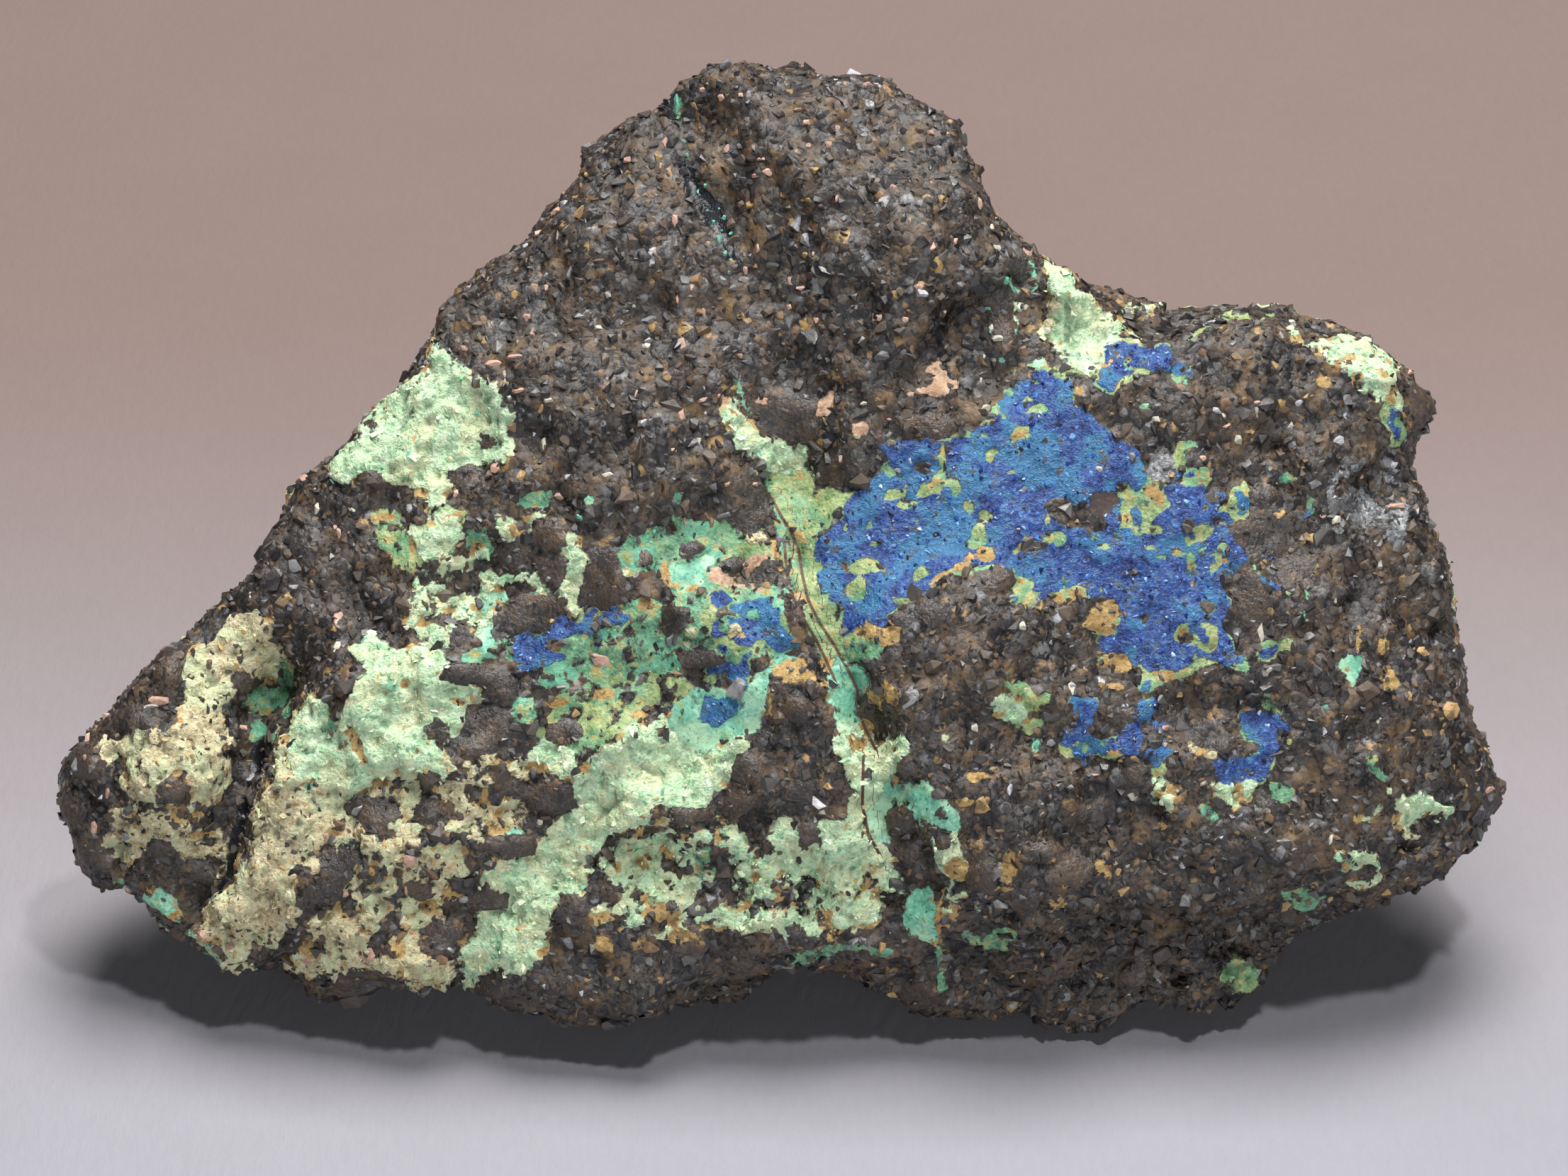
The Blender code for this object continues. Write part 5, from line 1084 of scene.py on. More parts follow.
@dataclass
class Grains:
    """Many small grains as one mesh."""

    name: str
    places: np.ndarray
    normals: np.ndarray
    sizes: np.ndarray
    colours: np.ndarray
    gloss: np.ndarray
    shapes: Sequence[tuple[np.ndarray, np.ndarray]]
    seed: int
    flatness: tuple[float, float] = (0.6, 0.95)
    box: tuple[np.ndarray, np.ndarray] | None = None
    turns: np.ndarray | None = None

    def build(self) -> bpy.types.Object:
        """Joins the grains into one piece.

        Returns:
            The piece, with a colour and a gloss for each grain.
        """
        draw = np.random.default_rng(self.seed)
        count = len(self.places)
        picks = draw.integers(0, len(self.shapes), count)
        turns = self._turns(draw, count) if self.turns is None else self.turns
        all_points, all_faces, owners, start = [], [], [], 0
        for pick, (shape, faces) in enumerate(self.shapes):
            chosen = np.nonzero(picks == pick)[0]
            placed = np.einsum("nij,pj->npi", turns[chosen], shape) + self.places[chosen][:, None, :]
            all_points.append(placed.reshape(-1, 3))
            firsts = start + np.arange(len(chosen)) * len(shape)
            all_faces.append((faces[None, :, :] + firsts[:, None, None]).reshape(-1, 3))
            owners.append(np.repeat(chosen, len(shape)))
            start += len(chosen) * len(shape)
        points, faces, owners = np.concatenate(all_points), np.concatenate(all_faces), np.concatenate(owners)
        if self.box is not None:
            points = np.clip(points, self.box[0], self.box[1])
        mesh = bpy.data.meshes.new(self.name)
        mesh.from_pydata((points * MM).tolist(), [], faces.tolist())
        add_attribute(mesh, "grain_colour", self.colours[owners])
        add_attribute(mesh, "grain_gloss", self.gloss[owners])
        piece = bpy.data.objects.new(self.name, mesh)
        bpy.context.scene.collection.objects.link(piece)
        return piece

    def _turns(self, draw: np.random.Generator, count: int) -> np.ndarray:
        """A matrix for each grain: its own turn, then flattened along the surface's normal and sized."""
        quaternion = draw.normal(size=(count, 4))
        quaternion /= np.linalg.norm(quaternion, axis=1, keepdims=True)
        w, x, y, z = quaternion.T
        own = np.stack([
            np.stack([1 - 2 * (y * y + z * z), 2 * (x * y - z * w), 2 * (x * z + y * w)], axis=1),
            np.stack([2 * (x * y + z * w), 1 - 2 * (x * x + z * z), 2 * (y * z - x * w)], axis=1),
            np.stack([2 * (x * z - y * w), 2 * (y * z + x * w), 1 - 2 * (x * x + y * y)], axis=1),
        ], axis=1)
        helper = np.where(np.abs(self.normals[:, :1]) < 0.8, (1.0, 0.0, 0.0), (0.0, 1.0, 0.0))
        across = np.cross(self.normals, helper)
        across /= np.linalg.norm(across, axis=1, keepdims=True)
        along = np.cross(self.normals, across)
        spin = draw.uniform(0.0, 2.0 * math.pi, count)[:, None]
        first = np.cos(spin) * across + np.sin(spin) * along
        second = np.cross(self.normals, first)
        stood = np.stack([first, second, self.normals], axis=2)
        stretch = np.stack([draw.uniform(0.8, 1.3, count), draw.uniform(0.7, 1.0, count),
                            draw.uniform(*self.flatness, count)], axis=1)
        sized = self.sizes if self.sizes.ndim == 2 else np.repeat(self.sizes[:, None], 3, axis=1)
        return np.einsum("nij,nj,njk->nik", stood, stretch * sized, own)


def paint(red: float, green: float, blue: float) -> tuple[float, float, float]:
    """A colour as seen on screen, 0 to 255, made linear."""
    return tuple(
        value / 12.92 if value <= 0.04045 else ((value + 0.055) / 1.055) ** 2.4
        for value in (red / 255.0, green / 255.0, blue / 255.0)
    )


@dataclass(frozen=True)
class MineralFinish:
    """A mineral's colours from deep to pale, a wash over part, a stain that spots it, and how it takes the light."""

    deep: tuple[float, float, float]
    middle: tuple[float, float, float]
    pale: tuple[float, float, float]
    wash: tuple[float, float, float]
    washed: float
    stain: tuple[float, float, float]
    stained: float
    mottle: float
    roughness: float
    bump: float


FINISHES = {
    Mineral.MALACHITE: MineralFinish(
        paint(62, 104, 80), paint(102, 152, 118), paint(148, 192, 146), paint(106, 178, 148), 0.5,
        paint(168, 158, 98), 0.48, 0.9, 0.42, 1.2),
    Mineral.LIME: MineralFinish(
        paint(104, 132, 88), paint(146, 166, 112), paint(186, 192, 138), paint(104, 160, 124), 0.5,
        paint(190, 158, 92), 0.36, 0.8, 0.5, 1.2),
    Mineral.TEAL: MineralFinish(
        paint(74, 144, 122), paint(116, 184, 156), paint(166, 214, 186), paint(186, 218, 178), 0.4,
        paint(140, 168, 112), 0.32, 1.2, 0.5, 0.6),
    Mineral.MINT: MineralFinish(
        paint(134, 178, 140), paint(188, 216, 176), paint(216, 230, 200), paint(216, 206, 160), 0.3,
        paint(124, 192, 160), 0.26, 0.7, 0.85, 2.2),
    Mineral.CREAM: MineralFinish(
        paint(148, 136, 104), paint(204, 194, 156), paint(224, 216, 184), paint(196, 212, 170), 0.42,
        paint(188, 150, 98), 0.34, 0.6, 0.9, 2.2),
    Mineral.AZURITE: MineralFinish(
        paint(24, 36, 84), paint(44, 76, 142), paint(84, 128, 176), paint(60, 130, 166), 0.45,
        paint(74, 84, 96), 0.42, 0.9, 0.36, 2.4),
    Mineral.OCHRE: MineralFinish(
        paint(136, 108, 68), paint(182, 150, 94), paint(210, 184, 130), paint(158, 128, 84), 0.4,
        paint(98, 78, 58), 0.40, 0.7, 0.8, 1.2),
    Mineral.TAN: MineralFinish(
        paint(140, 108, 86), paint(188, 156, 130), paint(214, 186, 160), paint(168, 128, 100), 0.4,
        paint(112, 84, 62), 0.36, 0.9, 0.7, 0.8),
    Mineral.UMBER: MineralFinish(
        paint(56, 42, 38), paint(70, 54, 48), paint(82, 66, 58), paint(62, 56, 58), 0.3,
        paint(60, 46, 42), 0.30, 1.4, 0.5, 0.4),
    # Painted shade: near-black colours for the gully and the crack at the top.
    Mineral.PAINTED_CREVICE_SHADE: MineralFinish(
        paint(16, 17, 22), paint(26, 28, 34), paint(40, 44, 54), paint(30, 30, 32), 0.3,
        paint(40, 36, 34), 0.30, 1.0, 0.3, 0.8),
    Mineral.SILVER: MineralFinish(
        paint(64, 66, 70), paint(112, 114, 116), paint(176, 182, 184), paint(90, 86, 84), 0.4,
        paint(60, 62, 70), 0.44, 0.5, 0.3, 1.0),
}
STONE = MineralFinish(
    paint(44, 41, 40), paint(69, 61, 56), paint(96, 85, 74), paint(104, 84, 62), 0.36,
    paint(128, 102, 68), 0.30, 0.9, 0.6, 1.0)
BIG_GRAIN = MineralFinish(
    paint(44, 41, 42), paint(70, 64, 61), paint(96, 90, 86), paint(88, 68, 52), 0.4,
    paint(104, 84, 60), 0.26, 1.3, 0.30, 0.8)


@dataclass(frozen=True)
class GrainTone:
    """One kind of grain in the bare stone: its colour, how common it is and how glossy."""

    colour: tuple[float, float, float]
    common: float
    gloss: float


GRAIN_TONES = (
    GrainTone(paint(38, 36, 39), 0.19, 0.85),
    GrainTone(paint(60, 57, 57), 0.23, 0.75),
    GrainTone(paint(64, 55, 49), 0.20, 0.5),
    GrainTone(paint(88, 74, 62), 0.13, 0.35),
    GrainTone(paint(90, 88, 87), 0.13, 0.7),
    GrainTone(paint(120, 95, 68), 0.06, 0.3),
    GrainTone(paint(170, 138, 92), 0.02, 0.1),
    GrainTone(paint(128, 128, 130), 0.03, 0.9),
    # Painted glints: the rare near-white grains stand in for small sparkles of light.
    GrainTone(paint(190, 190, 194), 0.004, 1.0),
)
BROWN_TONES, GREY_TONES, OCHRE_TONES, DARK_TONES = (2, 3), (4, 7, 8), (5, 6), (0, 1)


@dataclass
class Wiring:
    """Adds shader nodes to one material and joins them."""

    name: str
    material: bpy.types.Material = field(init=False)

    def __post_init__(self) -> None:
        """Starts an empty material with its output and shader."""
        self.material = bpy.data.materials.new(self.name)
        self.material.use_nodes = True
        self.tree = self.material.node_tree
        self.tree.nodes.clear()
        self.output = self.tree.nodes.new("ShaderNodeOutputMaterial")
        self.shader = self.tree.nodes.new("ShaderNodeBsdfPrincipled")
        self.tree.links.new(self.shader.outputs[0], self.output.inputs[0])
        self.place = self.tree.nodes.new("ShaderNodeTexCoord").outputs["Object"]

    def put(self, socket: bpy.types.NodeSocket, value: object) -> None:
        """Sets a socket to a number or a colour, or joins it to another socket."""
        if isinstance(value, bpy.types.NodeSocket):
            self.tree.links.new(value, socket)
        elif isinstance(value, tuple) and socket.type == "RGBA":
            socket.default_value = (*value, 1.0)
        else:
            socket.default_value = value

    def stretched(self, scale: tuple[float, float, float]) -> bpy.types.NodeSocket:
        """The object's own coordinates, scaled differently along each axis."""
        mapping = self.tree.nodes.new("ShaderNodeMapping")
        mapping.inputs["Scale"].default_value = scale
        self.put(mapping.inputs["Vector"], self.place)
        return mapping.outputs[0]

    def noise(
        self, size: float, detail: float = 2.0, rough: float = 0.55, place: bpy.types.NodeSocket | None = None
    ) -> bpy.types.NodeSocket:
        """Noise from 0 to 1.

        Args:
            size: Of its lumps, in millimetres.
            detail: Layers of finer noise.
            rough: How strong those are.
            place: Coordinates to read, or none for the object's own.

        Returns:
            The value's socket.
        """
        node = self.tree.nodes.new("ShaderNodeTexNoise")
        node.inputs["Scale"].default_value = 1.0 / (size * MM)
        node.inputs["Detail"].default_value = detail
        node.inputs["Roughness"].default_value = rough
        self.put(node.inputs["Vector"], place or self.place)
        return node.outputs["Fac"]

    def ramp(self, value: object, stops: Sequence[tuple[float, tuple[float, float, float]]]) -> bpy.types.NodeSocket:
        """A colour picked by a value, each stop's colour holding until the next."""
        node = self.tree.nodes.new("ShaderNodeValToRGB")
        node.color_ramp.interpolation = "CONSTANT"
        elements = node.color_ramp.elements
        while len(elements) < len(stops):
            elements.new(1.0)
        for element, (position, colour) in zip(elements, stops):
            element.position = position
            element.color = (*colour, 1.0)
        self.put(node.inputs["Fac"], value)
        return node.outputs["Color"]

    def vector(self, kind: str, first: object, second: object, output: int = 0) -> bpy.types.NodeSocket:
        """A Vector Math node of this kind."""
        node = self.tree.nodes.new("ShaderNodeVectorMath")
        node.operation = kind
        self.put(node.inputs[0], first)
        self.put(node.inputs[1], second)
        return node.outputs[output]

    def facets(self, size: float) -> tuple[bpy.types.NodeSocket, bpy.types.NodeSocket, bpy.types.NodeSocket]:
        """Packed broken grains as a pattern.

        Args:
            size: Of a grain, in millimetres.

        Returns:
            A random number for each grain, its height with its own tilt, and 0 in the gaps between grains.
        """
        cell = self.tree.nodes.new("ShaderNodeTexVoronoi")
        cell.inputs["Scale"].default_value = 1.0 / (size * MM)
        self.put(cell.inputs["Vector"], self.place)
        away = self.vector("SUBTRACT", self.place, cell.outputs["Position"])
        way = self.vector("SUBTRACT", cell.outputs["Color"], (0.5, 0.5, 0.5))
        lean = self.maths("MULTIPLY", self.vector("DOT_PRODUCT", away, way, 1), 1.0 / (size * MM))
        dome = self.maths("MULTIPLY_ADD", cell.outputs["Distance"], -0.9, 0.7)
        split = self.tree.nodes.new("ShaderNodeSeparateColor")
        self.put(split.inputs[0], cell.outputs["Color"])
        gap = self.turn(cell.outputs["Distance"], 0.72, 0.45)
        return split.outputs[0], self.maths("ADD", dome, lean), gap

    def attribute(self, name: str, output: str = "Fac") -> bpy.types.NodeSocket:
        """What a mesh keeps under this name."""
        node = self.tree.nodes.new("ShaderNodeAttribute")
        node.attribute_type = "GEOMETRY"
        node.attribute_name = name
        return node.outputs[output]

    def maths(self, kind: str, first: object, second: object = 0.0, third: object = 0.0) -> bpy.types.NodeSocket:
        """A Math node of this kind."""
        node = self.tree.nodes.new("ShaderNodeMath")
        node.operation = kind
        for socket, value in zip(node.inputs, (first, second, third)):
            self.put(socket, value)
        return node.outputs[0]

    def turn(self, value: object, low: float, high: float) -> bpy.types.NodeSocket:
        """0 at low, 1 at high, and an even turn between."""
        node = self.tree.nodes.new("ShaderNodeMapRange")
        node.interpolation_type = "SMOOTHSTEP"
        self.put(node.inputs["Value"], value)
        node.inputs["From Min"].default_value = low
        node.inputs["From Max"].default_value = high
        return node.outputs[0]

    def mix(self, share: object, first: object, second: object) -> bpy.types.NodeSocket:
        """A colour between two."""
        node = self.tree.nodes.new("ShaderNodeMix")
        node.data_type = "RGBA"
        self.put(node.inputs[0], share)
        self.put(node.inputs[6], first)
        self.put(node.inputs[7], second)
        return node.outputs[2]

    def times(self, colour: object, strength: object) -> bpy.types.NodeSocket:
        """A colour made lighter or darker."""
        node = self.tree.nodes.new("ShaderNodeVectorMath")
        node.operation = "SCALE"
        self.put(node.inputs[0], colour)
        self.put(node.inputs["Scale"], strength)
        return node.outputs[0]

    def bump(self, height: object, strength: float, distance: float) -> bpy.types.NodeSocket:
        """A normal roughened by a height, whose full reach is this distance in millimetres."""
        node = self.tree.nodes.new("ShaderNodeBump")
        node.inputs["Strength"].default_value = strength
        node.inputs["Distance"].default_value = distance * MM
        self.put(node.inputs["Height"], height)
        return node.outputs[0]


@dataclass(frozen=True)
class StoneFinish:
    """The stone's own finish: bare sandstone with each mineral laid over it where its coat says, and painted shade in
    the gaps between grains and in hollows.
    """

    edge: float = 0.09
    grit: float = 0.26
    coarse: float = 1.3
    fine: float = 0.66
    painted_gap_shade: float = 0.3
    painted_hollow_shade: float = 0.45
    big_grain_share: float = 0.7
    glassy: float = 1.47
    crack_half_width: float = 0.12
    crack_colour: tuple[float, float, float] = paint(92, 66, 54)

    def material(self) -> bpy.types.Material:
        """Makes the finish.

        Returns:
            The stone body's material.
        """
        wires = Wiring("azurite_stone")
        broad = wires.noise(3.2, 3.0)
        middle = wires.noise(1.1, 3.0, 0.6)
        fine = wires.noise(0.32, 3.0, 0.6)
        sparkle = wires.noise(0.42, 3.0, 0.75, wires.stretched((0.9, 1.0, 1.15)))
        grit = wires.maths("MULTIPLY", wires.maths("SUBTRACT", fine, 0.5), 2.0 * self.grit)
        colour, roughness, bump = self._bare_stone(wires, broad, middle, fine)
        smooth = wires.turn(wires.maths("ADD", wires.attribute("big_grain"), grit), 0.35, 0.8)
        smooth = wires.maths("MULTIPLY", smooth, self.big_grain_share)
        colour = wires.mix(smooth, colour, self._mottled(wires, BIG_GRAIN, broad, middle, fine))
        roughness = self._between(wires, smooth, roughness,
                                  wires.maths("MULTIPLY_ADD", middle, 0.5, BIG_GRAIN.roughness - 0.25))
        bump = self._between(wires, smooth, bump, wires.maths("MULTIPLY", fine, BIG_GRAIN.bump))
        for mineral in Mineral:
            finish = FINISHES[mineral]
            grain = sparkle if mineral is Mineral.AZURITE else fine
            share = wires.turn(wires.maths("ADD", wires.attribute(mineral.value), grit), -self.edge, self.edge)
            spread = broad if finish.mottle > 1.0 else middle
            colour = wires.mix(share, colour, self._mottled(wires, finish, spread, middle, grain))
            rough = wires.maths("MULTIPLY_ADD", fine, 0.24, finish.roughness - 0.12)
            roughness = self._between(wires, share, roughness, rough)
            bump = self._between(wires, share, bump, wires.maths("MULTIPLY", grain, 0.5 * finish.bump))
        crack = wires.turn(wires.maths("ABSOLUTE", wires.attribute("crack")), self.crack_half_width + 0.06,
                           self.crack_half_width - 0.04)
        colour = wires.mix(crack, colour, self.crack_colour)
        # Painted shade: the colour is darkened where the surface lies in a hollow.
        hollow = wires.turn(wires.attribute("hollow"), 0.5, 1.0)
        colour = wires.times(colour, wires.maths("MULTIPLY_ADD", hollow, -self.painted_hollow_shade, 1.0))
        wires.put(wires.shader.inputs["Base Color"], colour)
        wires.put(wires.shader.inputs["Roughness"], roughness)
        wires.put(wires.shader.inputs["Normal"], wires.bump(bump, 0.9, 0.3))
        wires.shader.inputs["IOR"].default_value = self.glassy
        return wires.material

    def _bare_stone(
        self, wires: Wiring, broad: bpy.types.NodeSocket, middle: bpy.types.NodeSocket, fine: bpy.types.NodeSocket
    ) -> tuple[bpy.types.NodeSocket, bpy.types.NodeSocket, bpy.types.NodeSocket]:
        """The sandstone between the real grains: finer packed grains with painted shade in the gaps between them, and
        rusty cement over some.

        Args:
            wires: The material's wiring.
            broad: Noise that spreads the cement.
            middle: Noise that stains it.
            fine: Noise of its grit.

        Returns:
            The colour, the roughness and the height.
        """
        coarse_pick, coarse_height, coarse_gap = wires.facets(self.coarse)
        fine_pick, fine_height, fine_gap = wires.facets(self.fine)
        stops, total = [], sum(tone.common for tone in GRAIN_TONES)
        for place, tone in enumerate(GRAIN_TONES):
            stops.append((sum(other.common for other in GRAIN_TONES[:place]) / total, tone.colour))
        coarse_tone, fine_tone = wires.ramp(coarse_pick, stops), wires.ramp(fine_pick, stops)
        small = wires.turn(middle, 0.46, 0.54)
        colour = wires.mix(small, coarse_tone, fine_tone)
        gap = self._between(wires, small, coarse_gap, fine_gap)
        # Painted shade: the gaps between the packed grains are darkened.
        colour = wires.times(colour, wires.maths("MULTIPLY_ADD", gap, 1.0 - self.painted_gap_shade, self.painted_gap_shade))
        cement = wires.turn(wires.maths("MULTIPLY_ADD", wires.maths("SUBTRACT", fine, 0.5), 0.7, broad), 0.50, 0.60)
        colour = wires.mix(wires.maths("MULTIPLY", cement, 0.7), colour,
                           self._mottled(wires, STONE, middle, broad, fine))
        colour = wires.times(colour, wires.maths("MULTIPLY_ADD", fine, 0.9, 0.55))
        rough = wires.maths("MULTIPLY_ADD", middle, 0.4, 0.28)
        rough = self._between(wires, cement, rough, STONE.roughness)
        height = wires.maths("MULTIPLY_ADD", fine_height, 0.4, coarse_height)
        return colour, rough, wires.maths("MULTIPLY_ADD", fine, 0.35, height)

    @staticmethod
    def _between(
        wires: Wiring, share: bpy.types.NodeSocket, first: bpy.types.NodeSocket, second: bpy.types.NodeSocket
    ) -> bpy.types.NodeSocket:
        """A number between two."""
        step = wires.maths("SUBTRACT", second, first)
        return wires.maths("MULTIPLY_ADD", step, share, first)

    @staticmethod
    def _mottled(
        wires: Wiring,
        finish: MineralFinish,
        spread: bpy.types.NodeSocket,
        middle: bpy.types.NodeSocket,
        fine: bpy.types.NodeSocket,
    ) -> bpy.types.NodeSocket:
        """A mineral's colour: deep to pale with the broad noise, and stained where the middle noise is high.

        Args:
            wires: The material's wiring.
            finish: The colours.
            spread: Sets deep to pale.
            middle: Sets the stains.
            fine: Lightens and darkens the grit.

        Returns:
            The colour's socket.
        """
        wash = wires.maths("MULTIPLY", wires.turn(wires.noise(2.3 + finish.mottle, 2.0), 0.49, 0.58), 0.85)
        tone = wires.maths("MULTIPLY_ADD", wires.maths("SUBTRACT", fine, 0.5), 0.9, spread)
        colour = wires.mix(wires.turn(tone, 0.26, 0.5), finish.deep, finish.middle)
        colour = wires.mix(wires.turn(tone, 0.5, 0.74), colour, finish.pale)
        colour = wires.mix(wires.maths("MULTIPLY", wash, finish.washed * 1.6), colour, finish.wash)
        stains = wires.turn(middle, 0.70 - 0.3 * finish.stained, 0.80 - 0.3 * finish.stained)
        return wires.mix(stains, colour, finish.stain)


@dataclass(frozen=True)
class GrainFinish:
    """Loose-looking grains: each has its own colour and gloss, dusted with the brown cement."""

    name: str
    dust: float
    roughest: float
    smoothest: float
    glassy: float = 1.6
    dust_colour: tuple[float, float, float] = paint(78, 68, 59)

    def material(self) -> bpy.types.Material:
        """Makes the finish.

        Returns:
            The grains' material.
        """
        wires = Wiring(self.name)
        fine = wires.noise(0.34, 3.0, 0.62)
        middle = wires.noise(0.8, 2.0)
        own = wires.attribute("grain_colour", "Color")
        gloss = wires.attribute("grain_gloss")
        colour = wires.times(own, wires.maths("MULTIPLY_ADD", fine, 1.1, 0.46))
        dusty = wires.maths("MULTIPLY", wires.turn(middle, 0.50, 0.62), self.dust)
        colour = wires.mix(dusty, colour, self.dust_colour)
        rough = wires.maths("MULTIPLY_ADD", gloss, self.smoothest - self.roughest, self.roughest)
        rough = wires.maths("MULTIPLY_ADD", fine, 0.2, wires.maths("MULTIPLY_ADD", dusty, 0.4, rough))
        wires.put(wires.shader.inputs["Base Color"], colour)
        wires.put(wires.shader.inputs["Roughness"], rough)
        wires.put(wires.shader.inputs["Normal"], wires.bump(fine, 0.5, 0.07))
        wires.shader.inputs["IOR"].default_value = self.glassy
        return wires.material


@dataclass
class Spots:
    """Places on the stone where grains can go: what way they face, and which coat lies there."""

    places: np.ndarray
    normals: np.ndarray
    turned: np.ndarray
    covers: dict[Mineral, np.ndarray]
    coated: np.ndarray
    smooth: np.ndarray


@dataclass
class Surface:
    """The finished stone body, read for placing grains on it."""

    stone: bpy.types.Object
    minerals: MineralMap
    count: int = 230000
    seed: int = 17
    least_cover: float = 0.10

    def __post_init__(self) -> None:
        """Builds the search tree and the triangle table."""
        mesh = self.stone.data
        mesh.calc_loop_triangles()
        corners = np.empty(len(mesh.loop_triangles) * 3, np.int32)
        mesh.loop_triangles.foreach_get("vertices", corners)
        self.points, self.normals = shade_arrays(mesh)
        self.triangles = corners.reshape(-1, 3)
        self.tree = BVHTree.FromPolygons(self.points.tolist(), self.triangles.tolist())

    def spots(self) -> Spots:
        """Spreads places by area over the whole surface.

        Returns:
            The places, in no order, with what lies there.
        """
        draw = np.random.default_rng(self.seed)
        a, b, c = (self.points[self.triangles[:, corner]] for corner in range(3))
        area = np.linalg.norm(np.cross(b - a, c - a), axis=1)
        picked = draw.choice(len(area), self.count, p=area / area.sum())
        first, second = draw.random((2, self.count, 1))
        over = first + second > 1.0
        first, second = np.where(over, 1.0 - first, first), np.where(over, 1.0 - second, second)
        places = a[picked] + first * (b - a)[picked] + second * (c - a)[picked]
        normals = self.normals[self.triangles[picked]].mean(axis=1)
        normals /= np.linalg.norm(normals, axis=1, keepdims=True)
        covers = self.minerals.covers(places, normals)
        coated = MineralMap.top_mineral(covers, self.least_cover)
        smooth, _ = big_lumps(places, normals)
        return Spots(places, normals, facing(places, normals), covers, coated, smooth)

    def seen_at(self, u: float, v: float) -> tuple[Vector, Vector] | None:
        """Where the camera's ray through a place on the face meets the stone, and the normal there."""
        start = Vector(camera_place())
        target = Vector(FACE_CENTRE + u * RIGHT + v * UP)
        place, normal, _, _ = self.tree.ray_cast(start, (target - start).normalized())
        return None if place is None else (place, normal)


def thinned(places: np.ndarray, gaps: np.ndarray) -> np.ndarray:
    """Keeps points in order, and drops each later one that is nearer than a kept one's gap.

    Args:
        places: In order of rank.
        gaps: The room that each keeps round itself.

    Returns:
        Which points stay.
    """
    tree = KDTree(len(places))
    for index, place in enumerate(places):
        tree.insert(place, index)
    tree.balance()
    stays = np.ones(len(places), bool)
    for index, place in enumerate(places):
        if stays[index]:
            for _, other, _ in tree.find_range(place, gaps[index]):
                if other > index:
                    stays[other] = False
    return stays


def indices_of(minerals: Iterable[Mineral]) -> list[int]:
    """The places of these minerals in Mineral's order."""
    order = list(Mineral)
    return [order.index(mineral) for mineral in minerals]


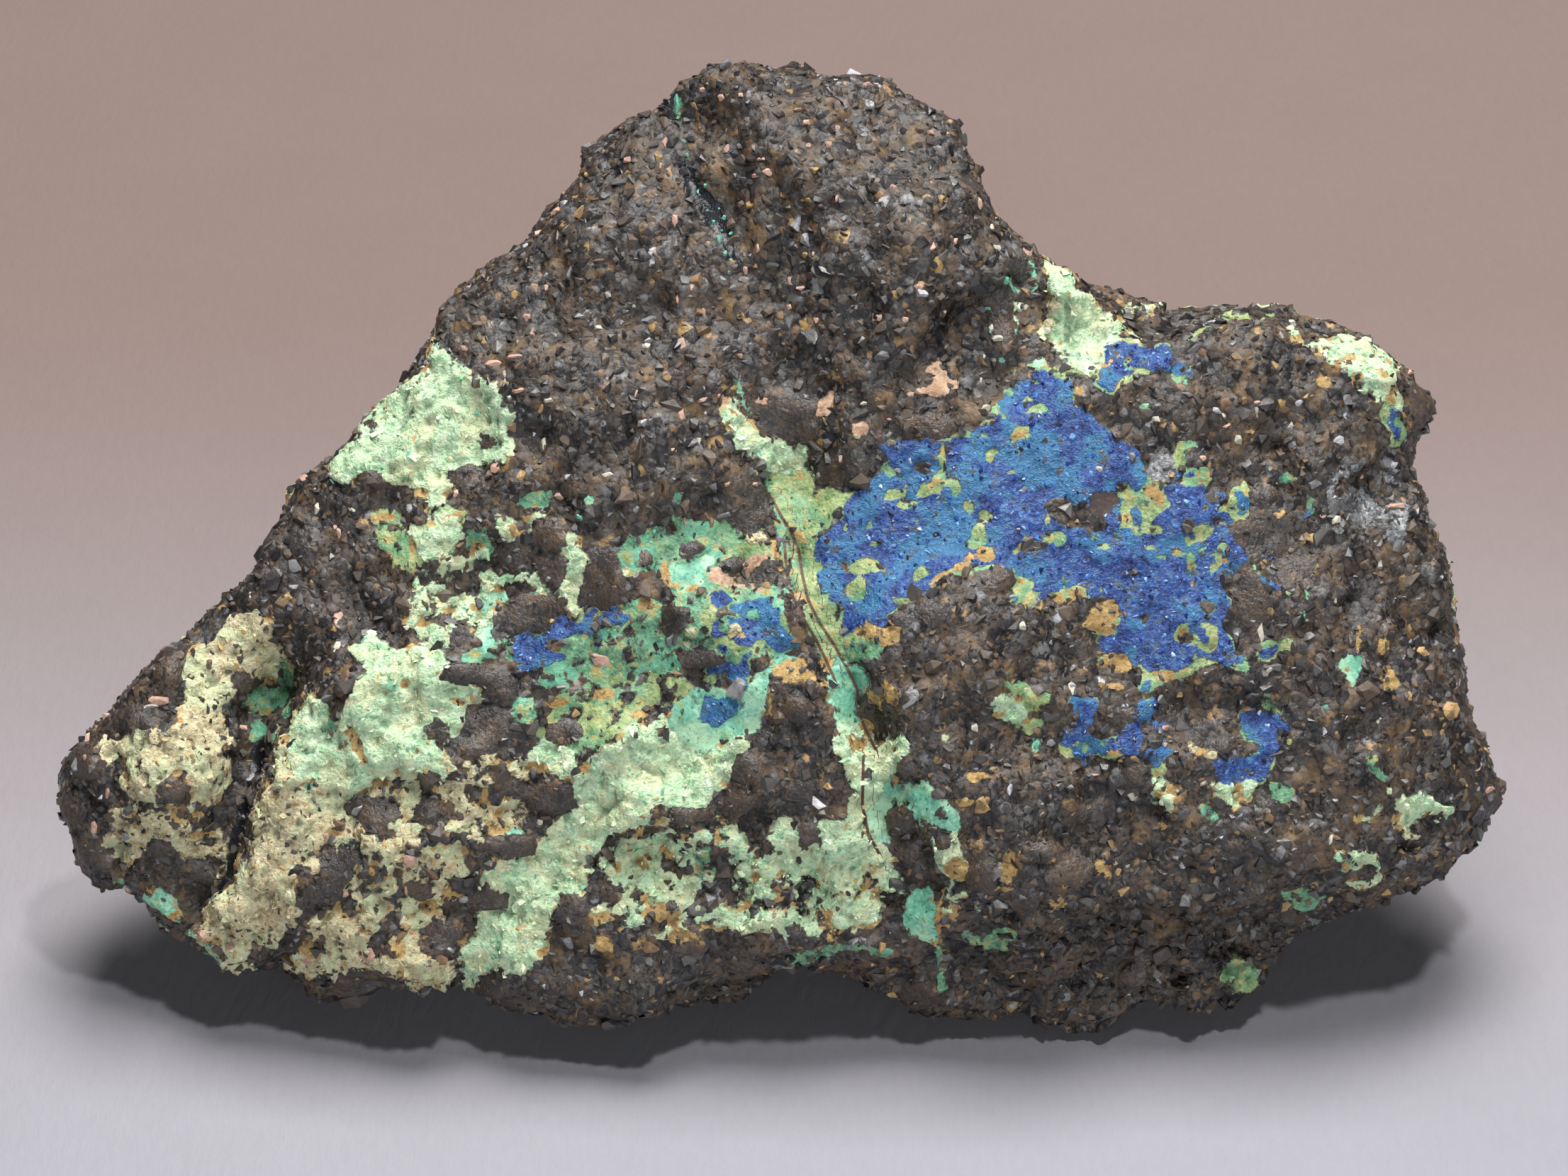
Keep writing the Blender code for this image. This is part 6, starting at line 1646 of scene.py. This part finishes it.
@dataclass
class SandGrains:
    """The coarse grains that the bare stone is made of, front and back."""

    spots: Spots
    box: tuple[np.ndarray, np.ndarray]
    big: tuple[float, float] = (0.8, 1.15)
    middle: tuple[float, float] = (0.5, 0.75)
    small: tuple[float, float] = (0.26, 0.44)
    big_share: float = 0.0022
    middle_share: float = 0.08
    back_growth: float = 1.35
    apart: float = 1.25
    sprinkled: dict[Mineral, float] = field(default_factory=lambda: {
        Mineral.AZURITE: 0.008, Mineral.MALACHITE: 0.05, Mineral.CREAM: 0.06, Mineral.OCHRE: 0.12, Mineral.SILVER: 0.3,
    })
    at_edges: float = 0.10
    edge_reach: float = 0.25
    smoothed: float = 0.9
    seed: int = 23

    def build(self) -> list[bpy.types.Object]:
        """Places the grains.

        Returns:
            The pieces: grains on the broad face, and grains on the sides, back and underside.
        """
        draw = np.random.default_rng(self.seed)
        spots, count = self.spots, len(self.spots.places)
        rank = draw.random(count)
        sizes = np.where(rank < self.big_share, draw.uniform(*self.big, count),
                         np.where(rank < self.big_share + self.middle_share, draw.uniform(*self.middle, count),
                                  draw.uniform(*self.small, count)))
        sizes *= np.where(spots.turned > -0.15, 1.0, self.back_growth)
        shares = np.array([self.sprinkled.get(mineral, 0.0) for mineral in Mineral] + [0.0])
        depth = np.max([spots.covers[mineral] for mineral in Mineral], axis=0)
        chance = shares[spots.coated] + self.at_edges * smooth_step(1.0 - depth / self.edge_reach)
        rare = (draw.random(count) < chance) & (sizes < self.middle[0])
        clear = (spots.places[:, 2] > 0.5 + 0.6 * sizes) & (draw.random(count) > self.smoothed * spots.smooth)
        chosen = np.nonzero(((spots.coated < 0) | rare) & clear)[0]
        chosen = chosen[np.argsort(-sizes[chosen], kind="stable")]
        chosen = chosen[thinned(spots.places[chosen], sizes[chosen] * self.apart)]
        places, normals, sizes = spots.places[chosen], spots.normals[chosen], sizes[chosen]
        front = spots.turned[chosen] > 0.0
        under = ~front & (normals[:, 2] < -0.1)
        large = front & (sizes >= self.big[0])
        colours, gloss = self.colours(places, draw)
        places = places - normals * (sizes * draw.uniform(0.1, 0.45, len(sizes)))[:, None]
        bank = ShapeBank()
        pieces = []
        for name, take, shapes in (
            ("grains_front", front & ~large, bank.angular_shapes()),
            ("grains_large", large, ShapeBank(corners=14).angular_shapes()),
            ("grains_back", ~front & ~under, bank.angular_shapes()),
            ("grains_under", under, bank.angular_shapes()),
        ):
            pieces.append(Grains(name, places[take], normals[take], sizes[take], colours[take], gloss[take],
                                 shapes, self.seed + len(pieces), box=self.box).build())
        return pieces

    @staticmethod
    def colours(places: np.ndarray, draw: np.random.Generator) -> tuple[np.ndarray, np.ndarray]:
        """Gives each grain its colour and gloss, by where on the stone it lies.

        Args:
            places: The grains' middles, in millimetres.
            draw: The random numbers to use.

        Returns:
            A colour and a gloss for each.
        """
        u, v = on_face(places)
        weights = np.repeat(np.array([tone.common for tone in GRAIN_TONES])[None, :], len(places), axis=0)
        patchy = rough_noise(places, 9.0, 91)
        rusty = rough_noise(places, 4.0, 93)
        greyer = np.exp(-(((u - 46.0) / 7.0) ** 2 + ((v - 4.0) / 6.0) ** 2))
        low = smooth_step((-v - 2.0) / 10.0) * smooth_step((u + 30.0) / 10.0)
        flank = smooth_step((-24.0 - u) / 14.0) * smooth_step((8.0 - v) / 6.0)
        for tone in BROWN_TONES:
            weights[:, tone] *= np.exp(0.9 * patchy + 0.5 * flank)
        for tone in GREY_TONES:
            weights[:, tone] *= np.exp(-0.6 * patchy + 1.6 * greyer)
        for tone in OCHRE_TONES:
            weights[:, tone] *= np.exp(2.2 * rusty + 0.7 * low - 0.9)
        for tone in DARK_TONES:
            weights[:, tone] *= np.exp(-0.8 * greyer)
        steps = np.cumsum(weights, axis=1)
        picked = (draw.random(len(places))[:, None] * steps[:, -1:] > steps).sum(axis=1)
        palette = np.array([tone.colour for tone in GRAIN_TONES])
        glosses = np.array([tone.gloss for tone in GRAIN_TONES])
        colours = palette[picked] * draw.uniform(0.75, 1.3, (len(places), 1))
        gloss = np.clip(glosses[picked] + draw.uniform(-0.15, 0.15, len(places)), 0.0, 1.0)
        return colours, gloss


@dataclass
class CoatGrains:
    """Small grains of a mineral that stand in its own coat."""

    name: str
    spots: Spots
    box: tuple[np.ndarray, np.ndarray]
    minerals: tuple[Mineral, ...]
    sizes: tuple[float, float]
    apart: float
    sunk: tuple[float, float]
    tones: tuple[GrainTone, ...]
    shapes: Sequence[tuple[np.ndarray, np.ndarray]]
    deep_enough: float = 0.0
    kept: float = 1.0
    flatness: tuple[float, float] = (0.6, 0.95)
    tilt: float = 0.0
    seed: int = 37

    def build(self) -> bpy.types.Object:
        """Places the grains.

        Returns:
            The piece.
        """
        draw = np.random.default_rng(self.seed)
        spots = self.spots
        cover = np.max([spots.covers[mineral] for mineral in self.minerals], axis=0)
        wanted = np.isin(spots.coated, indices_of(self.minerals)) & (cover > self.deep_enough)
        wanted &= (draw.random(len(wanted)) < self.kept) & (spots.places[:, 2] > 1.0)
        chosen = np.nonzero(wanted)[0]
        sizes = draw.uniform(*self.sizes, len(chosen))
        order = np.argsort(-sizes, kind="stable")
        chosen, sizes = chosen[order], sizes[order]
        stays = thinned(spots.places[chosen], sizes * self.apart)
        chosen, sizes = chosen[stays], sizes[stays]
        normals = spots.normals[chosen]
        places = spots.places[chosen] - normals * (sizes * draw.uniform(*self.sunk, len(sizes)))[:, None]
        normals = normals + self.tilt * draw.normal(size=normals.shape)
        normals /= np.linalg.norm(normals, axis=1, keepdims=True)
        weights = np.array([tone.common for tone in self.tones])
        picked = draw.choice(len(self.tones), len(chosen), p=weights / weights.sum())
        colours = np.array([tone.colour for tone in self.tones])[picked] * draw.uniform(0.8, 1.15, (len(chosen), 1))
        gloss = np.array([tone.gloss for tone in self.tones])[picked]
        return Grains(self.name, places, normals, sizes, colours, gloss, self.shapes, self.seed,
                      flatness=self.flatness, box=self.box).build()


@dataclass
class MineralChips:
    """The separate pale chips in the dark stone, each where the photograph shows it."""

    surface: Surface
    box: tuple[np.ndarray, np.ndarray]
    depth: float = 0.3
    pink: tuple[float, float, float] = paint(204, 164, 146)
    pale: tuple[float, float, float] = paint(206, 200, 184)
    teal: tuple[float, float, float] = paint(118, 196, 170)
    face_share: float = 0.4
    sunk: float = 0.25
    gloss: float = 0.35
    seed: int = 43

    def build(self) -> bpy.types.Object:
        """Places the chips.

        Returns:
            The piece.
        """
        draw = np.random.default_rng(self.seed)
        places, turns, colours = [], [], []
        for chips, colour in ((PINK_CHIPS, self.pink), (PALE_CHIPS, self.pale), (TEAL_CHIPS, self.teal)):
            for right, up, wide, high in rows(chips, 4):
                found = self.surface.seen_at(right, up)
                if found is None:
                    continue
                place, normal = np.array(found[0]), np.array(found[1])
                out = (1.0 - self.face_share) * normal + self.face_share * OUT
                out /= np.linalg.norm(out)
                across = RIGHT - (RIGHT @ out) * out
                across /= np.linalg.norm(across)
                stretch = np.array((wide, high, self.depth)) * draw.uniform(1.0, 1.2)
                places.append(place - out * self.depth * self.sunk)
                turns.append(np.stack([across, np.cross(out, across), out], axis=1) * stretch)
                colours.append(np.array(colour) * draw.uniform(0.75, 1.1))
        count = len(places)
        return Grains("mineral_chips", np.array(places), np.tile(OUT, (count, 1)), np.ones(count), np.array(colours),
                      np.full(count, self.gloss), ShapeBank(corners=14).angular_shapes(), self.seed, box=self.box,
                      turns=np.array(turns)).build()


@dataclass(frozen=True)
class Lamp:
    """A square soft lamp: where it is, what it looks at, its side, power and colour."""

    place: tuple[float, float, float]
    aim: tuple[float, float, float]
    side: float
    watts: float
    colour: tuple[float, float, float] = (1.0, 1.0, 1.0)


@dataclass(frozen=True)
class PaperFinish:
    """The matt paper that the stone stands on, with painted light falloff: a little darker and warmer at the back."""

    # Painted light falloff: lighter and bluer near the camera, darker and warmer at the back.
    near: tuple[float, float, float] = paint(153, 153, 161)
    far: tuple[float, float, float] = paint(123, 106, 101)
    near_place: float = -0.06
    far_place: float = 0.09
    fibre: float = 0.12

    def material(self) -> bpy.types.Material:
        """Makes the finish.

        Returns:
            The floor's material.
        """
        wires = Wiring("pale_paper_painted_falloff")
        split = wires.tree.nodes.new("ShaderNodeSeparateXYZ")
        wires.put(split.inputs[0], wires.place)
        # Painted light falloff across the floor, from the near colour to the far one.
        depth = wires.turn(split.outputs["Y"], self.near_place, self.far_place)
        fibres = wires.noise(0.8, 4.0, 0.7, wires.stretched((1.0, 0.35, 1.0)))
        cloudy = wires.noise(14.0, 3.0)
        shade = wires.maths("MULTIPLY_ADD", fibres, self.fibre, 1.0 - 0.5 * self.fibre)
        shade = wires.maths("MULTIPLY_ADD", wires.maths("SUBTRACT", cloudy, 0.5), 0.08, shade)
        wires.put(wires.shader.inputs["Base Color"], wires.times(wires.mix(depth, self.near, self.far), shade))
        wires.shader.inputs["Roughness"].default_value = 0.9
        wires.put(wires.shader.inputs["Normal"], wires.bump(fibres, 0.8, 0.16))
        return wires.material


@dataclass
class Studio:
    """The floor, the lamps and the camera."""

    floor_side: float = 3.0
    sky: tuple[float, float, float] = (0.93, 0.96, 1.0)
    sky_strength: float = 0.04
    lamps: tuple[Lamp, ...] = (
        Lamp((0.02, 0.15, 0.60), (0.0, 0.0, 0.03), 0.32, 6.0, (1.0, 0.985, 0.96)),
        Lamp((0.16, -0.62, 0.12), (0.0, 0.0, 0.03), 0.50, 2.25, (0.95, 0.98, 1.0)),
        Lamp((0.10, -0.12, 0.60), (0.0, 0.0, 0.03), 0.04, 1.3),
    )

    def build(self) -> None:
        """Sets the scene round the part."""
        self._floor()
        self._camera()
        world = bpy.data.worlds.new("soft_room")
        world.use_nodes = True
        sky = world.node_tree.nodes["Background"]
        sky.inputs["Color"].default_value = (*self.sky, 1.0)
        sky.inputs["Strength"].default_value = self.sky_strength
        bpy.context.scene.world = world
        bpy.context.scene.view_settings.view_transform = "Standard"
        for place, lamp in enumerate(self.lamps):
            self._lamp(f"lamp_{place}", lamp)

    def _floor(self) -> None:
        """Lays the paper."""
        work = bmesh.new()
        bmesh.ops.create_grid(work, x_segments=1, y_segments=1, size=self.floor_side / 2.0)
        mesh = bpy.data.meshes.new("paper_floor")
        work.to_mesh(mesh)
        work.free()
        floor = bpy.data.objects.new("paper_floor", mesh)
        bpy.context.scene.collection.objects.link(floor)
        mesh.materials.append(PaperFinish().material())

    @staticmethod
    def _camera() -> None:
        """Points the camera straight at the broad face, as in the photograph."""
        data = bpy.data.cameras.new("camera")
        data.lens, data.sensor_width, data.sensor_fit = LENS, SENSOR, "HORIZONTAL"
        camera = bpy.data.objects.new("camera", data)
        camera.location = Vector(camera_place() * MM)
        camera.rotation_euler = (math.pi / 2.0 - FACE_RISE, 0.0, 0.0)
        bpy.context.scene.collection.objects.link(camera)
        bpy.context.scene.camera = camera

    @staticmethod
    def _lamp(name: str, lamp: Lamp) -> None:
        """Hangs one lamp."""
        data = bpy.data.lights.new(name, "AREA")
        data.shape, data.size, data.energy, data.color = "SQUARE", lamp.side, lamp.watts, lamp.colour
        light = bpy.data.objects.new(name, data)
        light.location = lamp.place
        light.rotation_euler = (Vector(lamp.aim) - Vector(lamp.place)).to_track_quat("-Z", "Y").to_euler()
        bpy.context.scene.collection.objects.link(light)


MINT_TONES = (
    GrainTone(paint(198, 220, 178), 0.36, 0.1),
    GrainTone(paint(220, 234, 200), 0.26, 0.15),
    GrainTone(paint(164, 204, 162), 0.16, 0.1),
    GrainTone(paint(216, 206, 164), 0.12, 0.1),
    GrainTone(paint(120, 176, 144), 0.06, 0.2),
    GrainTone(paint(184, 152, 104), 0.04, 0.05),
)
CREAM_TONES = (
    GrainTone(paint(206, 196, 154), 0.36, 0.1),
    GrainTone(paint(226, 218, 184), 0.22, 0.15),
    GrainTone(paint(186, 196, 150), 0.14, 0.1),
    GrainTone(paint(192, 160, 112), 0.14, 0.05),
    GrainTone(paint(150, 132, 98), 0.08, 0.1),
    GrainTone(paint(84, 70, 58), 0.06, 0.2),
)
CRYSTAL_TONES = (
    GrainTone(paint(38, 78, 160), 0.30, 0.85),
    GrainTone(paint(22, 40, 104), 0.28, 0.95),
    GrainTone(paint(66, 120, 192), 0.16, 0.85),
    GrainTone(paint(112, 164, 214), 0.07, 0.95),
    GrainTone(paint(66, 82, 106), 0.12, 0.8),
    GrainTone(paint(40, 40, 50), 0.06, 0.95),
    # Painted glints: the near-white crystals stand in for sparkles of light on the blue.
    GrainTone(paint(200, 212, 228), 0.02, 1.0),
)
GREEN_TONES = (
    GrainTone(paint(98, 144, 110), 0.34, 0.5),
    GrainTone(paint(66, 104, 80), 0.24, 0.5),
    GrainTone(paint(140, 184, 148), 0.20, 0.5),
    GrainTone(paint(150, 152, 104), 0.12, 0.3),
    GrainTone(paint(70, 62, 52), 0.10, 0.4),
)


def hand_over(piece: bpy.types.Object, material: bpy.types.Material) -> None:
    """Finishes a piece: its material, and its place in the record."""
    piece.data.materials.clear()
    piece.data.materials.append(material)
    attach(piece, BODY)
    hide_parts(NODE)
    LOG.info("%s: %d triangles", piece.name, triangle_count(piece.data))


def main() -> None:
    """Builds the stone, then its grains, crumbs, crystals and chips, then the studio."""
    logging.basicConfig(level=logging.INFO, format="%(message)s")
    box = tuple(np.array(corner) / MM for corner in CAD_BOX)
    minerals = MineralMap()
    stone = StoneBody(box, minerals).build()
    hand_over(stone, StoneFinish().material())
    surface = Surface(stone, minerals)
    spots = surface.spots()
    bank = ShapeBank()
    sand = GrainFinish("sand_grains", dust=0.5, roughest=0.72, smoothest=0.2).material()
    crystal = GrainFinish("crystal_grains", dust=0.08, roughest=0.6, smoothest=0.14).material()
    crumb = GrainFinish("crumb_grains", dust=0.16, roughest=0.95, smoothest=0.5).material()
    for piece in SandGrains(spots, box).build():
        hand_over(piece, sand)
    plates = ShapeBank(seed=9, corners=8).angular_shapes()
    for name, mineral, tones in (
        ("mint_flakes", Mineral.MINT, MINT_TONES),
        ("cream_flakes", Mineral.CREAM, CREAM_TONES),
    ):
        flakes = CoatGrains(name, spots, box, (mineral,), (0.2, 0.5), 0.9, (0.1, 0.5), tones, plates,
                            deep_enough=0.14, flatness=(0.22, 0.45), tilt=0.35)
        hand_over(flakes.build(), crumb)
    crystals = CoatGrains("azurite_crystals", spots, box, (Mineral.AZURITE,), (0.12, 0.34), 1.3, (0.2, 0.65),
                          CRYSTAL_TONES, bank.angular_shapes(), deep_enough=0.15)
    hand_over(crystals.build(), crystal)
    greens = CoatGrains("green_grains", spots, box, (Mineral.MALACHITE, Mineral.TEAL, Mineral.LIME), (0.14, 0.34),
                        1.5, (0.35, 0.75), GREEN_TONES, bank.angular_shapes(), deep_enough=0.12, kept=0.6)
    hand_over(greens.build(), crystal)
    hand_over(MineralChips(surface, box).build(), crumb)
    Studio().build()


if __name__ == "__main__":
    main()
